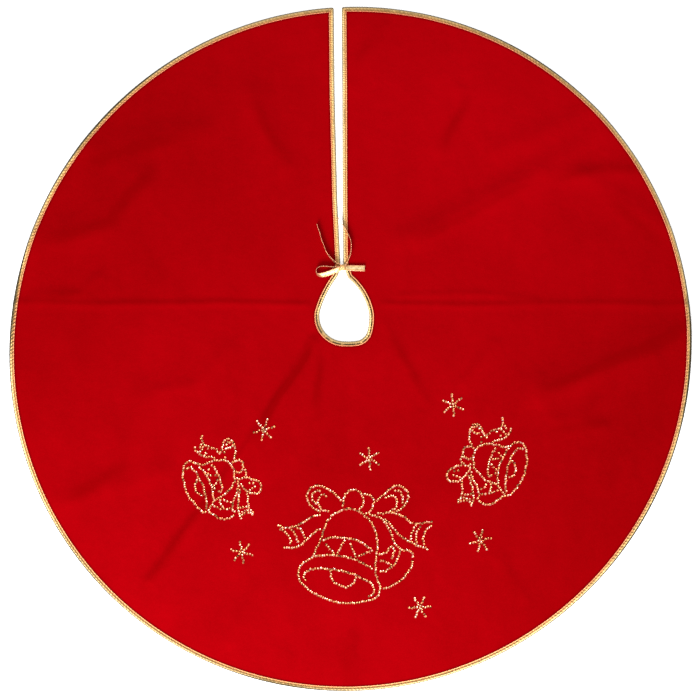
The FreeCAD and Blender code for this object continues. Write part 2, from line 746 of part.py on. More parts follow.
def check_document():
    """Stops if any object failed to build."""
    doc.recompute()
    for item in doc.Objects:
        if "Invalid" in item.State or "Error" in item.State:
            raise RuntimeError("%s did not build: %s" % (item.Name, item.State))


def write_parts(pieces):
    """Checks each sub-part's shape and writes it to its own STEP file."""
    os.makedirs("parts", exist_ok=True)
    for name, piece in pieces.items():
        shape = piece.Shape
        if shape.isNull() or not shape.isValid() or not shape.Solids:
            raise RuntimeError("%s has no valid solid" % name)
        box = shape.BoundBox
        print("%-32s solids %4d  z %.2f..%.2f  volume %.1f"
              % (name, len(shape.Solids), box.ZMin, box.ZMax, shape.Volume))
        shape.exportStep(os.path.join("parts", name + ".step"))


def build():
    """Builds every sub-part and returns them by name."""
    pieces = {}
    pieces["lining"] = cloth_layer("lining", LINING_BOTTOM, LINING_TOP)
    pieces["velvet_face"] = cloth_layer("velvet_face", VELVET_BOTTOM, VELVET_TOP)
    pieces.update(bindings())
    pieces["backing_front"] = backing("backing_front", (8, -350), 158, 118, 0)
    pieces["backing_left"] = backing("backing_left", (-230, -230), 94, 84, 60)
    pieces["backing_right"] = backing("backing_right", (243, -200), 96, 84, -60)
    pieces["backing_snowflakes"] = snowflake_backings()
    pieces.update(bow())
    groups = motif_sequins("front", FRONT_MOTIF, placer(0, -350))
    groups += motif_sequins("left", SIDE_MOTIF, placer(-226.7, -227.4, 0.956, 0.985, -6.5, mirrored=True))
    groups += motif_sequins("right", SIDE_MOTIF, placer(240, -200))
    groups += snowflake_sequins()
    for group in groups:
        pieces[group.Label] = group
    return pieces


parts = build()
check_document()
write_parts(parts)
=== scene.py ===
"""Looks of a round velvet tree skirt: lined velvet, folded metallic tape, a ribbon bow and sequins.

Lengths are in millimetres until a mesh is made, and a mesh is in metres.
"""
import math

import bpy
import numpy as np
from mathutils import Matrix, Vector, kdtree


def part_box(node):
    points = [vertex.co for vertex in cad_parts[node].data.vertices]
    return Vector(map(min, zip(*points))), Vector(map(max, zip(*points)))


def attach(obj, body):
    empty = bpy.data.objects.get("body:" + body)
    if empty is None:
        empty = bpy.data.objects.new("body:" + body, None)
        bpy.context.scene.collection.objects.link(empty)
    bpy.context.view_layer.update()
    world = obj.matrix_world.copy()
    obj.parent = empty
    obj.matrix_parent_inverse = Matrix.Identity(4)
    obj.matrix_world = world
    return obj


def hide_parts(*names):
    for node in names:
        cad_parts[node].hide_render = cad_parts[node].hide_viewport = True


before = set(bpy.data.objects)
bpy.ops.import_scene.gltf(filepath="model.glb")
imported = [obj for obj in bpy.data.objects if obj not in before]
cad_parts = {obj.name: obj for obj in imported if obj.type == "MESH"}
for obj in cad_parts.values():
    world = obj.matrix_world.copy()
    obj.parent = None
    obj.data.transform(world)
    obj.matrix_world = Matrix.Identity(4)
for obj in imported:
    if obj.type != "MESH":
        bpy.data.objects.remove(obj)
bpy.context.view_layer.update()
MM = 0.001
scene = bpy.context.scene
chance = np.random.default_rng(48)

# ---------------------------------------------------------------- camera

CAMERA_HEIGHT = 6.0
CAMERA_X = -0.0007
CAMERA_Y = -0.0018
VIEW_WIDTH = 1.2502


def add_camera():
    """A camera straight above the skirt, with the slit towards the top of the view."""
    optics = bpy.data.cameras.new("camera_above")
    optics.sensor_width = 36
    optics.lens = optics.sensor_width * CAMERA_HEIGHT / VIEW_WIDTH
    optics.clip_end = 60
    camera = bpy.data.objects.new("camera_above", optics)
    camera.location = (CAMERA_X, CAMERA_Y, CAMERA_HEIGHT)
    scene.collection.objects.link(camera)
    scene.camera = camera


add_camera()

# ---------------------------------------------------------------- finishes


class Value:
    """A number that changes over a surface. Arithmetic on it adds Math nodes."""

    def __init__(self, nodes, socket):
        self.nodes = nodes
        self.socket = socket

    def math(self, operation, *numbers):
        return self.nodes.node("ShaderNodeMath", {"operation": operation}, dict(enumerate(numbers)))

    def __add__(self, other):
        return self.math("ADD", self, other)

    def __radd__(self, other):
        return self.math("ADD", other, self)

    def __sub__(self, other):
        return self.math("SUBTRACT", self, other)

    def __rsub__(self, other):
        return self.math("SUBTRACT", other, self)

    def __mul__(self, other):
        return self.math("MULTIPLY", self, other)

    def __rmul__(self, other):
        return self.math("MULTIPLY", other, self)

    def sine(self):
        return self.math("SINE", self)

    def size(self):
        return self.math("ABSOLUTE", self)

    def or_more(self, other):
        """The larger of two values."""
        return self.math("MAXIMUM", self, other)

    def smooth(self, low, high):
        """0 below low, 1 above high, and a smooth rise between them."""
        return self.nodes.node(
            "ShaderNodeMapRange",
            {"interpolation_type": "SMOOTHSTEP"},
            {"Value": self, "From Min": low, "From Max": high},
        )


class Nodes:
    """A tree of nodes that is added to one node at a time."""

    def __init__(self, tree):
        self.tree = tree

    def node(self, kind, settings=None, inputs=None, output=0):
        """Adds a node with its settings, then its inputs, and gives its output, or several as a list."""
        made = self.tree.nodes.new(kind)
        for setting, value in (settings or {}).items():
            if setting == "stops":
                stops = made.color_ramp.elements
                while len(stops) < len(value):
                    stops.new(0.5)
                for stop, (position, colour) in zip(stops, value):
                    stop.position = position
                    stop.color = (*colour, 1)
            else:
                setattr(made, setting, value)
        for socket, value in (inputs or {}).items():
            self.put(made.inputs[socket], value)
        if isinstance(output, tuple):
            return [Value(self, made.outputs[each]) for each in output]
        return Value(self, made.outputs[output])

    def put(self, socket, value):
        """Links a value to a socket, or sets the socket to a plain number or colour."""
        if isinstance(value, Value):
            self.tree.links.new(value.socket, socket)
        elif isinstance(value, tuple) and len(value) == 3 and socket.type == "RGBA":
            socket.default_value = (*value, 1)
        else:
            socket.default_value = value

    def ramp(self, share, stops):
        """A colour along a row of stops."""
        return self.node("ShaderNodeValToRGB", {"stops": stops}, {"Fac": share}, output="Color")


class Recipe(Nodes):
    """The nodes of one finish."""

    def __init__(self, name, **constants):
        self.material = bpy.data.materials.new(name)
        self.material.use_nodes = True
        super().__init__(self.material.node_tree)
        self.shader = self.tree.nodes["Principled BSDF"]
        for socket, value in constants.items():
            self.shader.inputs[socket.replace("_", " ")].default_value = value
        self.place = self.node("ShaderNodeTexCoord", output="Object")

    def measure(self, name):
        """A number stored on the mesh's points."""
        return self.node("ShaderNodeAttribute", {"attribute_name": name}, output="Fac")

    def grain(self, scale, detail=2, roughness=0.5, stretch=None):
        """Cloudy noise from 0 to 1, with scale lumps to the metre."""
        place = self.place
        if stretch:
            place = self.node("ShaderNodeVectorMath", {"operation": "MULTIPLY"}, {0: place, 1: stretch})
        settings = {"noise_dimensions": "3D"}
        inputs = {"Vector": place, "Scale": scale, "Detail": detail, "Roughness": roughness}
        return self.node("ShaderNodeTexNoise", settings, inputs, output="Fac")

    def blend(self, share, low, high):
        """The colour low where share is 0, and high where it is 1."""
        return self.node("ShaderNodeMix", {"data_type": "RGBA"}, {0: share, 6: low, 7: high}, output=2)

    def raise_surface(self, height, depth, strength):
        """Shades the surface as if it stood up by height times depth."""
        inputs = {"Height": height, "Distance": depth, "Strength": strength}
        bumped = self.node("ShaderNodeBump", None, inputs)
        self.put(self.shader.inputs["Normal"], bumped)

    def finish(self, **varying):
        """Feeds what changes over the surface, and gives the material."""
        for socket, value in varying.items():
            self.put(self.shader.inputs[socket.replace("_", " ")], value)
        return self.material


def velvet_finish():
    """Short cut nap, brushed in patches, with a soft red bloom at grazing light, painted shade along its
    creases and a painted shadow beside the tape.
    """
    recipe = Recipe("red_velvet", Sheen_Weight=0.3, Sheen_Roughness=0.4, Sheen_Tint=(1.0, 0.03, 0.04, 1),
                    Specular_IOR_Level=0.03, Specular_Tint=(1.0, 0.05, 0.08, 1))
    brushed = recipe.grain(7, 4, 0.6)
    streaks = recipe.grain(26, 3, 0.6, (1.0, 0.45, 1.0))
    tufts = recipe.grain(420, 3, 0.7)
    fibres = recipe.grain(2600, 1, 0.5)
    share = 0.5 + (brushed - 0.5) * 0.45 + (streaks - 0.5) * 0.35 + (tufts - 0.5) * 0.7
    # Paler or darker patches of velvet, and painted shade along its creases.
    share = share + recipe.measure("pile")
    colour = recipe.blend(share, (0.160, 0.0, 0.0006), (0.268, 0.0, 0.0018))
    # Painted shadow of the tape's raised edge, which darkens the velvet in a narrow band beside the tape.
    tape_edge_shade = recipe.measure("from_tape").smooth(4.5, 0.3)
    colour = recipe.blend(tape_edge_shade * 0.6, colour, (0.075, 0.0, 0.0004))
    crumple = recipe.grain(15, 3, 0.55)
    recipe.raise_surface(tufts + fibres * 0.6 + crumple * 16, 0.0006, 0.35)
    return recipe.finish(Base_Color=colour, Roughness=0.82 + (fibres - 0.5) * 0.2)


def tape_finish():
    """Folded metallic tape: gold, pale along its crown, with a painted pink reflection of the velvet by the
    velvet side, and painted shade at the fold, in its pucker valleys, along its stitch groove and in broken
    stretches near its crown.
    """
    recipe = Recipe("gold_tape", Metallic=0.8, Specular_IOR_Level=0.4)
    along, across = recipe.measure("along"), recipe.measure("across")
    pucker = recipe.measure("pucker")
    wander = recipe.grain(150, 3, 0.6)
    speckle = recipe.grain(700, 2, 0.6)
    stretches = recipe.grain(9, 2, 0.5)
    ribs = (along * (2 * math.pi / 0.9) + (wander - 0.5) * 2).sine()
    draw = recipe.measure("draw")
    # The tape's gold across its width, with a painted reddish reflection of the velvet at the velvet-side
    # edge and painted shade towards the fold.
    colour = recipe.ramp(across, [
        (0.0, (0.22, 0.17, 0.09)), (0.12, (0.36, 0.27, 0.14)), (0.28, (0.52, 0.37, 0.17)),
        (0.44, (0.62, 0.38, 0.15)), (0.64, (0.50, 0.25, 0.07)), (0.78, (0.52, 0.21, 0.06)),
        (0.90, (0.76, 0.31, 0.14)), (1.0, (0.42, 0.08, 0.04))])
    # Painted shade in the valleys of the puckers, stronger at the listed places on the hem.
    valleys = (0.0 - pucker).smooth(-0.2, 0.6) * recipe.measure("gather")
    # Painted shade in a band over the groove of the stitch row, broken up by noise.
    row = (across - 0.62).size().smooth(0.22, 0.10) * (draw * (0.5 + wander.smooth(0.36, 0.5) * 0.5))
    # Painted shade along a crease near the tape's crown, in broken stretches.
    crease_shade = (across - 0.42).size().smooth(0.12, 0.03) * stretches.smooth(0.46, 0.56)
    crease_shade = crease_shade * wander.smooth(0.42, 0.54)
    # Painted shade along the fold at the tape's free edge, its width set per binding and per place.
    fold = (recipe.measure("rolled") * 0.42 - across).smooth(0.0, 0.14)
    dark = valleys.or_more(row).or_more((crease_shade * 0.7).or_more(fold * 0.95))
    colour = recipe.blend(dark, colour, (0.030, 0.021, 0.007))
    colour = recipe.blend(speckle.smooth(0.50, 0.72) * (1 - dark) * 0.2, colour, (0.88, 0.62, 0.34))
    recipe.raise_surface(ribs * 0.5 + speckle * 0.35, 0.00025, 0.6)
    return recipe.finish(Base_Color=colour, Roughness=0.4 + (speckle - 0.5) * 0.3)


def ribbon_finish():
    """Metallic ribbon: fine ribs across it between two bright woven edges."""
    recipe = Recipe("gold_ribbon", Metallic=0.8, Specular_IOR_Level=0.45)
    along, across = recipe.measure("along"), recipe.measure("across")
    wander = recipe.grain(200, 3, 0.6)
    speckle = recipe.grain(900, 2, 0.6)
    ribs = (along * (2 * math.pi / 1.3) + (wander - 0.5) * 2).sine()
    colour = recipe.ramp(across, [
        (0.0, (1.0, 0.42, 0.24)), (0.10, (0.98, 0.50, 0.26)), (0.22, (0.72, 0.46, 0.16)),
        (0.5, (0.90, 0.70, 0.42)), (0.78, (0.84, 0.60, 0.26)), (0.9, (0.98, 0.50, 0.26)),
        (1.0, (1.0, 0.42, 0.24))])
    edges = (across - 0.5).size().smooth(0.40, 0.49)
    dull = (wander * 0.5 + speckle * 0.3 - ribs * 0.06).smooth(0.43, 0.32)
    colour = recipe.blend(dull * (1 - edges) * 0.75, colour, (0.16, 0.09, 0.02))
    recipe.raise_surface(ribs * 0.6 + speckle * 0.6, 0.0003, 0.7)
    return recipe.finish(Base_Color=colour, Roughness=0.36 + (speckle - 0.5) * 0.3)


def sequin_finish():
    """Bright metallised film, each sequin with a tint of its own."""
    recipe = Recipe("sequin_film", Metallic=0.88, Specular_IOR_Level=0.6, Coat_Weight=0.25,
                    Coat_Roughness=0.1)
    tint = recipe.measure("tint")
    radius = recipe.measure("radius")
    glint = recipe.measure("glint")
    smear = recipe.grain(900, 2, 0.6)
    stops = [(0.0, (0.03, 0.018, 0.006)), (0.22, (0.20, 0.09, 0.02)), (0.38, (0.72, 0.27, 0.07)),
             (0.57, (0.92, 0.32, 0.16)), (0.76, (1.0, 0.46, 0.30)), (0.96, (1.0, 0.78, 0.68))]
    colour = recipe.ramp(0.48 + (tint - 0.5) * 0.5 + glint * 0.42 + (smear - 0.5) * 0.4, stops)
    shaded = radius.smooth(0.37, 0.25).or_more(radius.smooth(0.88, 1.0))
    colour = recipe.blend(shaded * 0.9, colour, (0.04, 0.012, 0.005))
    recipe.raise_surface(smear, 0.0003, 0.5)
    return recipe.finish(Base_Color=colour, Roughness=0.2 + smear * 0.14)


def thread_finish(name, light, dark):
    """Twisted sewing thread."""
    recipe = Recipe(name, Specular_IOR_Level=0.45)
    ply = recipe.grain(3600, 2, 0.5, (1.0, 1.0, 0.6))
    colour = recipe.blend(ply.smooth(0.35, 0.7), dark, light)
    recipe.raise_surface(ply, 0.00015, 0.6)
    return recipe.finish(Base_Color=colour, Roughness=0.45 + (ply - 0.5) * 0.3)


def woven_finish(name, light, dark, pitch, rough, shine):
    """Plain woven cloth with its threads pitch apart, in metres."""
    recipe = Recipe(name, Specular_IOR_Level=shine)
    turns = 2 * math.pi / pitch
    right, back = recipe.node("ShaderNodeSeparateXYZ", None, {0: recipe.place}, ("X", "Y"))
    warp = (right * turns).sine()
    weft = (back * turns).sine()
    slubs = recipe.grain(300, 3, 0.6, (1.0, 0.15, 1.0))
    cloudy = recipe.grain(18, 3, 0.5)
    weave = warp * weft
    share = 0.5 + weave * 0.18 + (slubs - 0.5) * 0.5 + (cloudy - 0.5) * 0.4
    recipe.raise_surface(weave * 0.5 + slubs, 0.0002, 0.6)
    return recipe.finish(Base_Color=recipe.blend(share, dark, light), Roughness=rough + (slubs - 0.5) * 0.2)


def backing_finish():
    """Pressed non-woven fibres, a little uneven."""
    recipe = Recipe("non_woven_backing", Specular_IOR_Level=0.2)
    fibres = recipe.grain(1400, 4, 0.7, (1.0, 0.35, 1.0))
    lumps = recipe.grain(220, 2, 0.5)
    colour = recipe.blend(0.4 * fibres + 0.6 * lumps, (0.46, 0.45, 0.42), (0.64, 0.63, 0.60))
    recipe.raise_surface(fibres, 0.0003, 0.6)
    return recipe.finish(Base_Color=colour, Roughness=0.8 + (lumps - 0.5) * 0.2)


def floor_finish():
    """A plain matt pale floor, which glows a little like a light table."""
    recipe = Recipe("pale_floor", Specular_IOR_Level=0.1, Emission_Color=(1.0, 1.0, 1.0, 1),
                    Emission_Strength=0.3)
    colour = recipe.blend(recipe.grain(3, 2), (0.885, 0.885, 0.885), (0.905, 0.905, 0.905))
    return recipe.finish(Base_Color=colour, Roughness=0.9 + recipe.grain(40) * 0.05)


VELVET = velvet_finish()
TAPE = tape_finish()
RIBBON = ribbon_finish()
SEQUIN = sequin_finish()
SEQUIN_THREAD = thread_finish("sequin_thread", (0.52, 0.30, 0.14), (0.26, 0.11, 0.04))
# A dark brown thread, made darker still as painted shade of the stitch groove.
TOPSTITCH_THREAD = thread_finish("topstitch_thread", (0.20, 0.12, 0.04), (0.05, 0.03, 0.01))
LINING = woven_finish("red_lining", (0.28, 0.006, 0.010), (0.16, 0.002, 0.005), 0.0009, 0.5, 0.35)
BACKING = backing_finish()
FLOOR = floor_finish()

# ---------------------------------------------------------------- meshes


def make_piece(name, points, faces, materials, material_of=None, flat=False, slot=None, **measures):
    """A mesh piece from points in millimetres, which rides with the skirt."""
    mesh = bpy.data.meshes.new(name)
    mesh.from_pydata((np.asarray(points, float) * MM).tolist(), [], faces)
    for material in materials:
        mesh.materials.append(material)
    if material_of is not None:
        mesh.polygons.foreach_set("material_index", np.asarray(material_of, np.int32))
    mesh.polygons.foreach_set("use_smooth", np.full(len(faces), not flat))
    for measure, numbers in measures.items():
        layer = mesh.attributes.new(measure, "FLOAT", "POINT")
        layer.data.foreach_set("value", np.asarray(numbers, np.float32))
    mesh.update()
    piece = bpy.data.objects.new(name, mesh)
    scene.collection.objects.link(piece)
    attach(piece, "root")
    return piece


def ring_faces(stations, around, ends=True):
    """Faces of a tube of closed rings, with its two ends capped."""
    station, place = np.meshgrid(np.arange(stations - 1), np.arange(around), indexing="ij")
    following = (place + 1) % around
    quads = np.stack([station * around + place, station * around + following,
                      (station + 1) * around + following, (station + 1) * around + place], -1)
    faces = quads.reshape(-1, 4).tolist()
    if ends:
        faces.append(list(range(around))[::-1])
        faces.append([(stations - 1) * around + place for place in range(around)])
    return faces


def sheet_mesh(grid, thickness):
    """Points and faces of a thin closed sheet whose upper face is a grid of points."""
    rows, columns, _ = grid.shape
    count = rows * columns
    upper = grid.reshape(-1, 3)
    lower = upper - (0, 0, thickness)
    row, column = np.meshgrid(np.arange(rows - 1), np.arange(columns - 1), indexing="ij")
    corner = (row * columns + column).reshape(-1)
    top = np.stack([corner, corner + 1, corner + columns + 1, corner + columns], -1)
    edge = np.concatenate([
        np.arange(columns - 1),
        np.arange(rows - 1) * columns + columns - 1,
        (rows - 1) * columns + np.arange(columns - 1, 0, -1),
        np.arange(rows - 1, 0, -1) * columns,
    ])
    following = np.roll(edge, -1)
    side = np.stack([following, edge, edge + count, following + count], -1)
    faces = np.concatenate([top, top[:, ::-1] + count, side])
    return np.concatenate([upper, lower]), faces.tolist()


def smooth_step(value, low, high):
    """0 below low, 1 above high, and a smooth rise between them."""
    share = np.clip((np.asarray(value, float) - low) / (high - low), 0, 1)
    return share * share * (3 - 2 * share)


def unit(vectors):
    """The same directions with lengths of 1."""
    return vectors / np.linalg.norm(vectors, axis=-1, keepdims=True)


def line_reach(line):
    """How far each point of a line is along it."""
    return np.concatenate([[0], np.cumsum(np.linalg.norm(np.diff(line, axis=0), axis=1))])


def points_at(places, reach, line):
    """Points at places along a line whose own points are reach along it."""
    return np.stack([np.interp(places, reach, line[:, axis]) for axis in range(line.shape[1])], -1)


def spaced(line, count):
    """A number of evenly spaced points along a line."""
    reach = line_reach(line)
    return points_at(np.linspace(0, reach[-1], count), reach, line)


def even_points(line, step):
    """The same line with its points evenly spaced, about a step apart."""
    return spaced(line, int(round(line_reach(line)[-1] / step)) + 1)


# ---------------------------------------------------------------- ribbon bow

RIBBON_WIDTH = 10
# The tails and the left loop are made a little narrower than the flat ribbon.
TAIL_WIDTH = 9.2
LOOP_LEFT_WIDTH = 9
TAIL_HEIGHT = 7.5
RIBBON_WAVE = 0.25
ROUTE_STEP = 0.5
KNOT_MIDDLE = (-14.5, 145.2, 5.8)
# The routes of the ribbon's two free ends and its left loop, from the knot outwards.
TAIL_LEFT_ROUTE = [(-17, 147), (-29, 156), (-40, 167), (-47.5, 183), (-54, 203), (-60, 223)]
TAIL_RIGHT_ROUTE = [(-12, 147), (-4, 159), (1, 175), (1.5, 191), (-5, 207), (-14, 221), (-22.5, 235)]
LOOP_LEFT_ROUTE = [(-18, 146.2), (-36, 146.6), (-57, 148), (-62.5, 139), (-57, 131), (-42, 133), (-18, 143.5)]
LOOP_LEFT_HEIGHTS = [7.2, 7.4, 7.6, 7.4, 6.8, 6.3, 6.6]


def smooth_route(points):
    """Points along a smooth line led by a route's points, in millimetres."""
    curve = bpy.data.curves.new("route", "CURVE")
    curve.dimensions = "3D"
    curve.resolution_u = 24
    spline = curve.splines.new("NURBS")
    spline.points.add(len(points) - 1)
    for control, point in zip(spline.points, points):
        control.co = (*(each * MM for each in point), 1)
    spline.order_u = 3
    spline.use_endpoint_u = True
    holder = bpy.data.objects.new("route", curve)
    line = bpy.data.meshes.new_from_object(holder)
    places = np.array([tuple(vertex.co) for vertex in line.vertices]) / MM
    bpy.data.meshes.remove(line)
    bpy.data.objects.remove(holder)
    bpy.data.curves.remove(curve)
    return even_points(places, ROUTE_STEP)


def strap_rings(middle, thick, shares):
    """Rings over one face of a strap and back under the other, and how far across it each point lies."""
    rings = np.concatenate([middle + thick, (middle - thick)[:, ::-1]], 1)
    across = (shares + 1) / 2
    return rings, np.concatenate([across, across[::-1]])


def add_strap(name, rings, along, across):
    """A stretch of ribbon from its rings, how far along it each ring is, and how far across each point."""
    return make_piece(name, rings.reshape(-1, 3), ring_faces(*rings.shape[:2]), [RIBBON], slot="ribbon",
                      along=np.repeat(along, len(across)), across=np.tile(across, len(along)))


def add_ribbon(node, line, leans, width):
    """Ribbon along a line for a CAD node. Leans are pairs of share of the way and degrees off upright."""
    run = unit(np.gradient(line, axis=0))
    left = unit(np.stack([-run[:, 1], run[:, 0], 0 * run[:, 0]], -1))
    share = np.linspace(0, 1, len(line))
    lean_places, lean_angles = zip(*leans)
    lean = np.radians(np.interp(share, lean_places, lean_angles))[:, None]
    up = np.cross(run, left)
    up *= np.where(up[:, 2:] < 0, -1, 1)
    across = np.cos(lean) * up - np.sin(lean) * left
    face = np.cross(run, across)
    shares = np.linspace(-1, 1, 13)
    off_middle = np.abs(shares)
    woven_edge = smooth_step(off_middle, 0.72, 0.9) * (1 - smooth_step(off_middle, 0.93, 1.05))
    half_thick = 0.14 + 0.13 * woven_edge
    curl = 0.35 * (1 - shares ** 2)
    reach = np.arange(len(line)) * ROUTE_STEP
    wave = RIBBON_WAVE * np.sin(reach / 3.7 + 0.8)[:, None] * shares[None] ** 2
    middle = line[:, None] + (shares * width / 2)[None, :, None] * across[:, None]
    middle = middle + (curl[None] + wave)[..., None] * face[:, None]
    thick = half_thick[None, :, None] * face[:, None]
    rings, across_share = strap_rings(middle, thick, shares)
    piece = add_strap(node + "_ribbon", rings, reach, across_share)
    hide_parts(node)
    return piece


def add_tail(node, route, leans):
    """One free end of the ribbon, from the knot to its cut end."""
    line = smooth_route([(x, y, TAIL_HEIGHT) for x, y in route])
    piece = add_ribbon(node, line, leans, TAIL_WIDTH)


add_tail("tie_tail_left", TAIL_LEFT_ROUTE, [(0, 30), (0.15, 14), (0.36, 6), (1, 1)])
add_tail("tie_tail_right", TAIL_RIGHT_ROUTE, [(0, 30), (0.15, 18), (0.4, 6), (0.5, 3), (0.7, 8), (1, 3)])


def add_left_loop():
    """The left loop, which stands open on its edge."""
    line = smooth_route([(x, y, z) for (x, y), z in zip(LOOP_LEFT_ROUTE, LOOP_LEFT_HEIGHTS)])
    leans = [(0, 8), (0.4, 4), (0.52, -6), (0.64, -62), (0.9, -74), (1, -50)]
    piece = add_ribbon("bow_loop_left", line, leans, LOOP_LEFT_WIDTH)


def add_right_loop():
    """The right loop: ribbon led out, folded back at its end and pressed nearly flat."""
    turn = math.radians(-1.5)
    profile = [(-4, 3.5), (6, 3.4), (18, 3.3), (28, 3.35), (33.2, 3.6), (34.2, 5.2), (32.6, 6.9), (27, 6.9),
               (18, 6.6), (6, 6.2), (-4, 6.4)]
    start = (KNOT_MIDDLE[0] + 6.5, KNOT_MIDDLE[1] - 0.5)
    route = [(start[0] + reach * math.cos(turn), start[1] + reach * math.sin(turn), height)
             for reach, height in profile]
    line = smooth_route(route)
    side = np.array([-math.sin(turn), math.cos(turn), 0.0])
    face = np.cross(unit(np.gradient(line, axis=0)), side)
    shares = np.linspace(-1, 1, 13)
    reach = np.arange(len(line)) * ROUTE_STEP
    half_thick = 0.14 + 0.12 * smooth_step(np.abs(shares), 0.72, 0.9)
    pinch = 1 - 0.14 * np.exp(-((line[:, 0] - start[0]) / 5) ** 2)
    middle = line[:, None] + (shares[None] * pinch[:, None] * RIBBON_WIDTH / 2)[..., None] * side
    sag = 0.25 * np.sin(reach / 6.1)[:, None] * (1 - shares[None] ** 2)
    middle[..., 2] += sag * np.sign(face[:, None, 2])
    thick = half_thick[None, :, None] * face[:, None]
    rings, across = strap_rings(middle, thick, shares)
    piece = add_strap("bow_loop_right_ribbon", rings, reach, across)
    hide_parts("bow_loop_right")


def add_knot_body():
    """The knot's inner turns: ribbon drawn tight round the two neck corners, and creased."""
    shares = np.linspace(-1, 1, 41)
    angles = np.linspace(0, 2 * math.pi, 60, endpoint=False)
    swell = (1 - np.abs(shares) ** 3.2) ** 0.42 * (1 - 0.10 * np.cos(2 * math.pi * shares))
    creases = 0.34 * np.cos(3.5 * math.pi * shares[:, None] + 1.5 * np.sin(angles + 0.4)[None])
    creases = creases + 0.16 * np.cos(9 * math.pi * shares[:, None] - 2.1 * np.cos(angles)[None])
    depth = 5.2 * np.maximum(swell, 0.22)[:, None] + creases
    height = 2.9 * np.maximum(swell, 0.3)[:, None] + creases * 0.7
    x = KNOT_MIDDLE[0] + 6.4 * shares[:, None] + 0.7 * np.sin(angles)[None]
    y = KNOT_MIDDLE[1] + depth * np.cos(angles)
    z = KNOT_MIDDLE[2] + height * np.sin(angles)
    rings = np.stack([x + 0 * y, y, z], -1)
    knot = make_piece("bow_knot_ribbon", rings.reshape(-1, 3), ring_faces(*rings.shape[:2]), [RIBBON],
                      slot="ribbon", along=np.tile(angles * 4.2, len(shares)),
                      across=(0.24 + 0.22 * creases).reshape(-1))
    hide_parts("bow_knot")
    return knot


def add_knot_turn(knot):
    """The knot's outer turn: a strap over its top, a little left of its middle."""
    middle_of_turn = np.array(KNOT_MIDDLE) - (1.6, 0, 0)
    wrap = np.linspace(-0.35, math.pi + 0.35, 70)
    out = np.stack([3.4 * np.cos(wrap), 5.6 * np.cos(wrap), 3.35 * np.sin(wrap)], -1)
    over = middle_of_turn + out
    run = unit(np.gradient(over, axis=0))
    out = unit(out - (out * run).sum(1)[:, None] * run)
    side = np.cross(run, out)
    widths = np.linspace(-1, 1, 9)
    middle = over[:, None] + (widths * 1.9)[None, :, None] * side[:, None]
    middle = middle - (0.5 * widths ** 2)[None, :, None] * out[:, None]
    thick = 0.22 * out[:, None]
    rings, across = strap_rings(middle, thick, widths)
    turn = add_strap("bow_knot_outer_turn", rings, wrap * 4.5, 0.12 + 0.16 * across)
    turn.parent = knot


add_left_loop()
add_right_loop()
add_knot_turn(add_knot_body())

# ---------------------------------------------------------------- how the cloth lies

# Each fold: the line of its ridge, how high it stands and how wide it is, in millimetres.
FOLDS = [
    ([(-600, 82), (-430, 79), (-240, 82), (-80, 79)], 1.7, 5),
    ([(62, 80), (210, 77), (380, 81), (607, 78)], 1.5, 5),
    ([(90, 95), (231, 98), (330, 88)], 1.2, 5),
    ([(-560, 95), (-483, 98), (-450, 128)], 2.0, 7),
    ([(-67, 16), (-188, -180), (-358, -413)], 3.2, 6),
    ([(571, 212), (500, 255), (410, 311)], 3.6, 14),
    ([(-340, -73), (-270, -62), (-215, 0)], 2.0, 10),
    ([(419, -118), (480, -70), (540, -10)], 2.6, 12),
    ([(205, -60), (258, 7)], 1.5, 8),
    ([(-420, -250), (-330, -215)], 2.2, 12),
    ([(-170, -430), (-215, -520)], 2.0, 10),
    ([(-58, 7), (-58, -127)], 1.3, 6),
    ([(62, 43), (133, -91)], 1.3, 7),
    ([(267, -377), (312, -448)], 1.4, 8),
    ([(606, 43), (517, -2), (339, -73)], 6.1, 22),
    ([(124, 195), (339, 311), (490, 320)], 3.4, 13),
    ([(89, 195), (321, 311), (446, 391)], 3.5, 15),
    ([(267, 355), (446, 427)], 3.5, 15),
    ([(160, 355), (196, 463)], 2.2, 9),
    ([(0, 480), (44, 570)], 4.3, 22),
    ([(-179, 454), (-117, 329)], 3.8, 18),
    ([(-554, 195), (-447, 221), (-385, 302)], 5.8, 24),
    ([(-465, 355), (-269, 391)], 4.3, 20),
    ([(-519, -270), (-429, -225), (-358, -91)], 4.3, 22),
    ([(-108, -493), (-90, -377)], 2.3, 13),
    ([(0, -520), (3, -609)], 1.7, 10),
    ([(374, -127), (446, -136)], 2.3, 12),
]
BOW_MIDDLE = (-18, 182)
BOW_HALF = (48, 58)


def distance_to_line(x, y, line):
    """How far places lie from a line of straight runs."""
    nearest = np.full(x.shape, np.inf)
    for (x0, y0), (x1, y1) in zip(line, line[1:]):
        run_x, run_y = x1 - x0, y1 - y0
        share = np.clip(((x - x0) * run_x + (y - y0) * run_y) / (run_x ** 2 + run_y ** 2), 0, 1)
        nearest = np.minimum(nearest, np.hypot(x - x0 - share * run_x, y - y0 - share * run_y))
    return nearest


def lie(x, y):
    """How far the cloth stands up off the floor at a place. It lies flat under the bow."""
    x, y = np.broadcast_arrays(np.asarray(x, float), np.asarray(y, float))
    height = 0.55 * (1 + np.sin(x / 71 + 0.6 * np.sin(y / 93)) * np.sin(y / 64 + 0.9))
    height = height + 0.45 * (1 + np.sin((x + 0.7 * y) / 37 + 1.1) * np.sin((y - 0.5 * x) / 52))
    for line, tall, wide in FOLDS:
        height = height + tall * np.exp(-0.5 * (distance_to_line(x, y, line) / wide) ** 2)
    away = np.hypot(np.maximum(np.abs(x - BOW_MIDDLE[0]) - BOW_HALF[0], 0),
                    np.maximum(np.abs(y - BOW_MIDDLE[1]) - BOW_HALF[1], 0))
    return height * smooth_step(away, 0, 60)


def on_cloth(points):
    """Points measured from the floor, lifted by how the cloth lies under them."""
    points = np.array(points, float)
    points[..., 2] += lie(points[..., 0], points[..., 1])
    return points


# ---------------------------------------------------------------- the cloth's edge

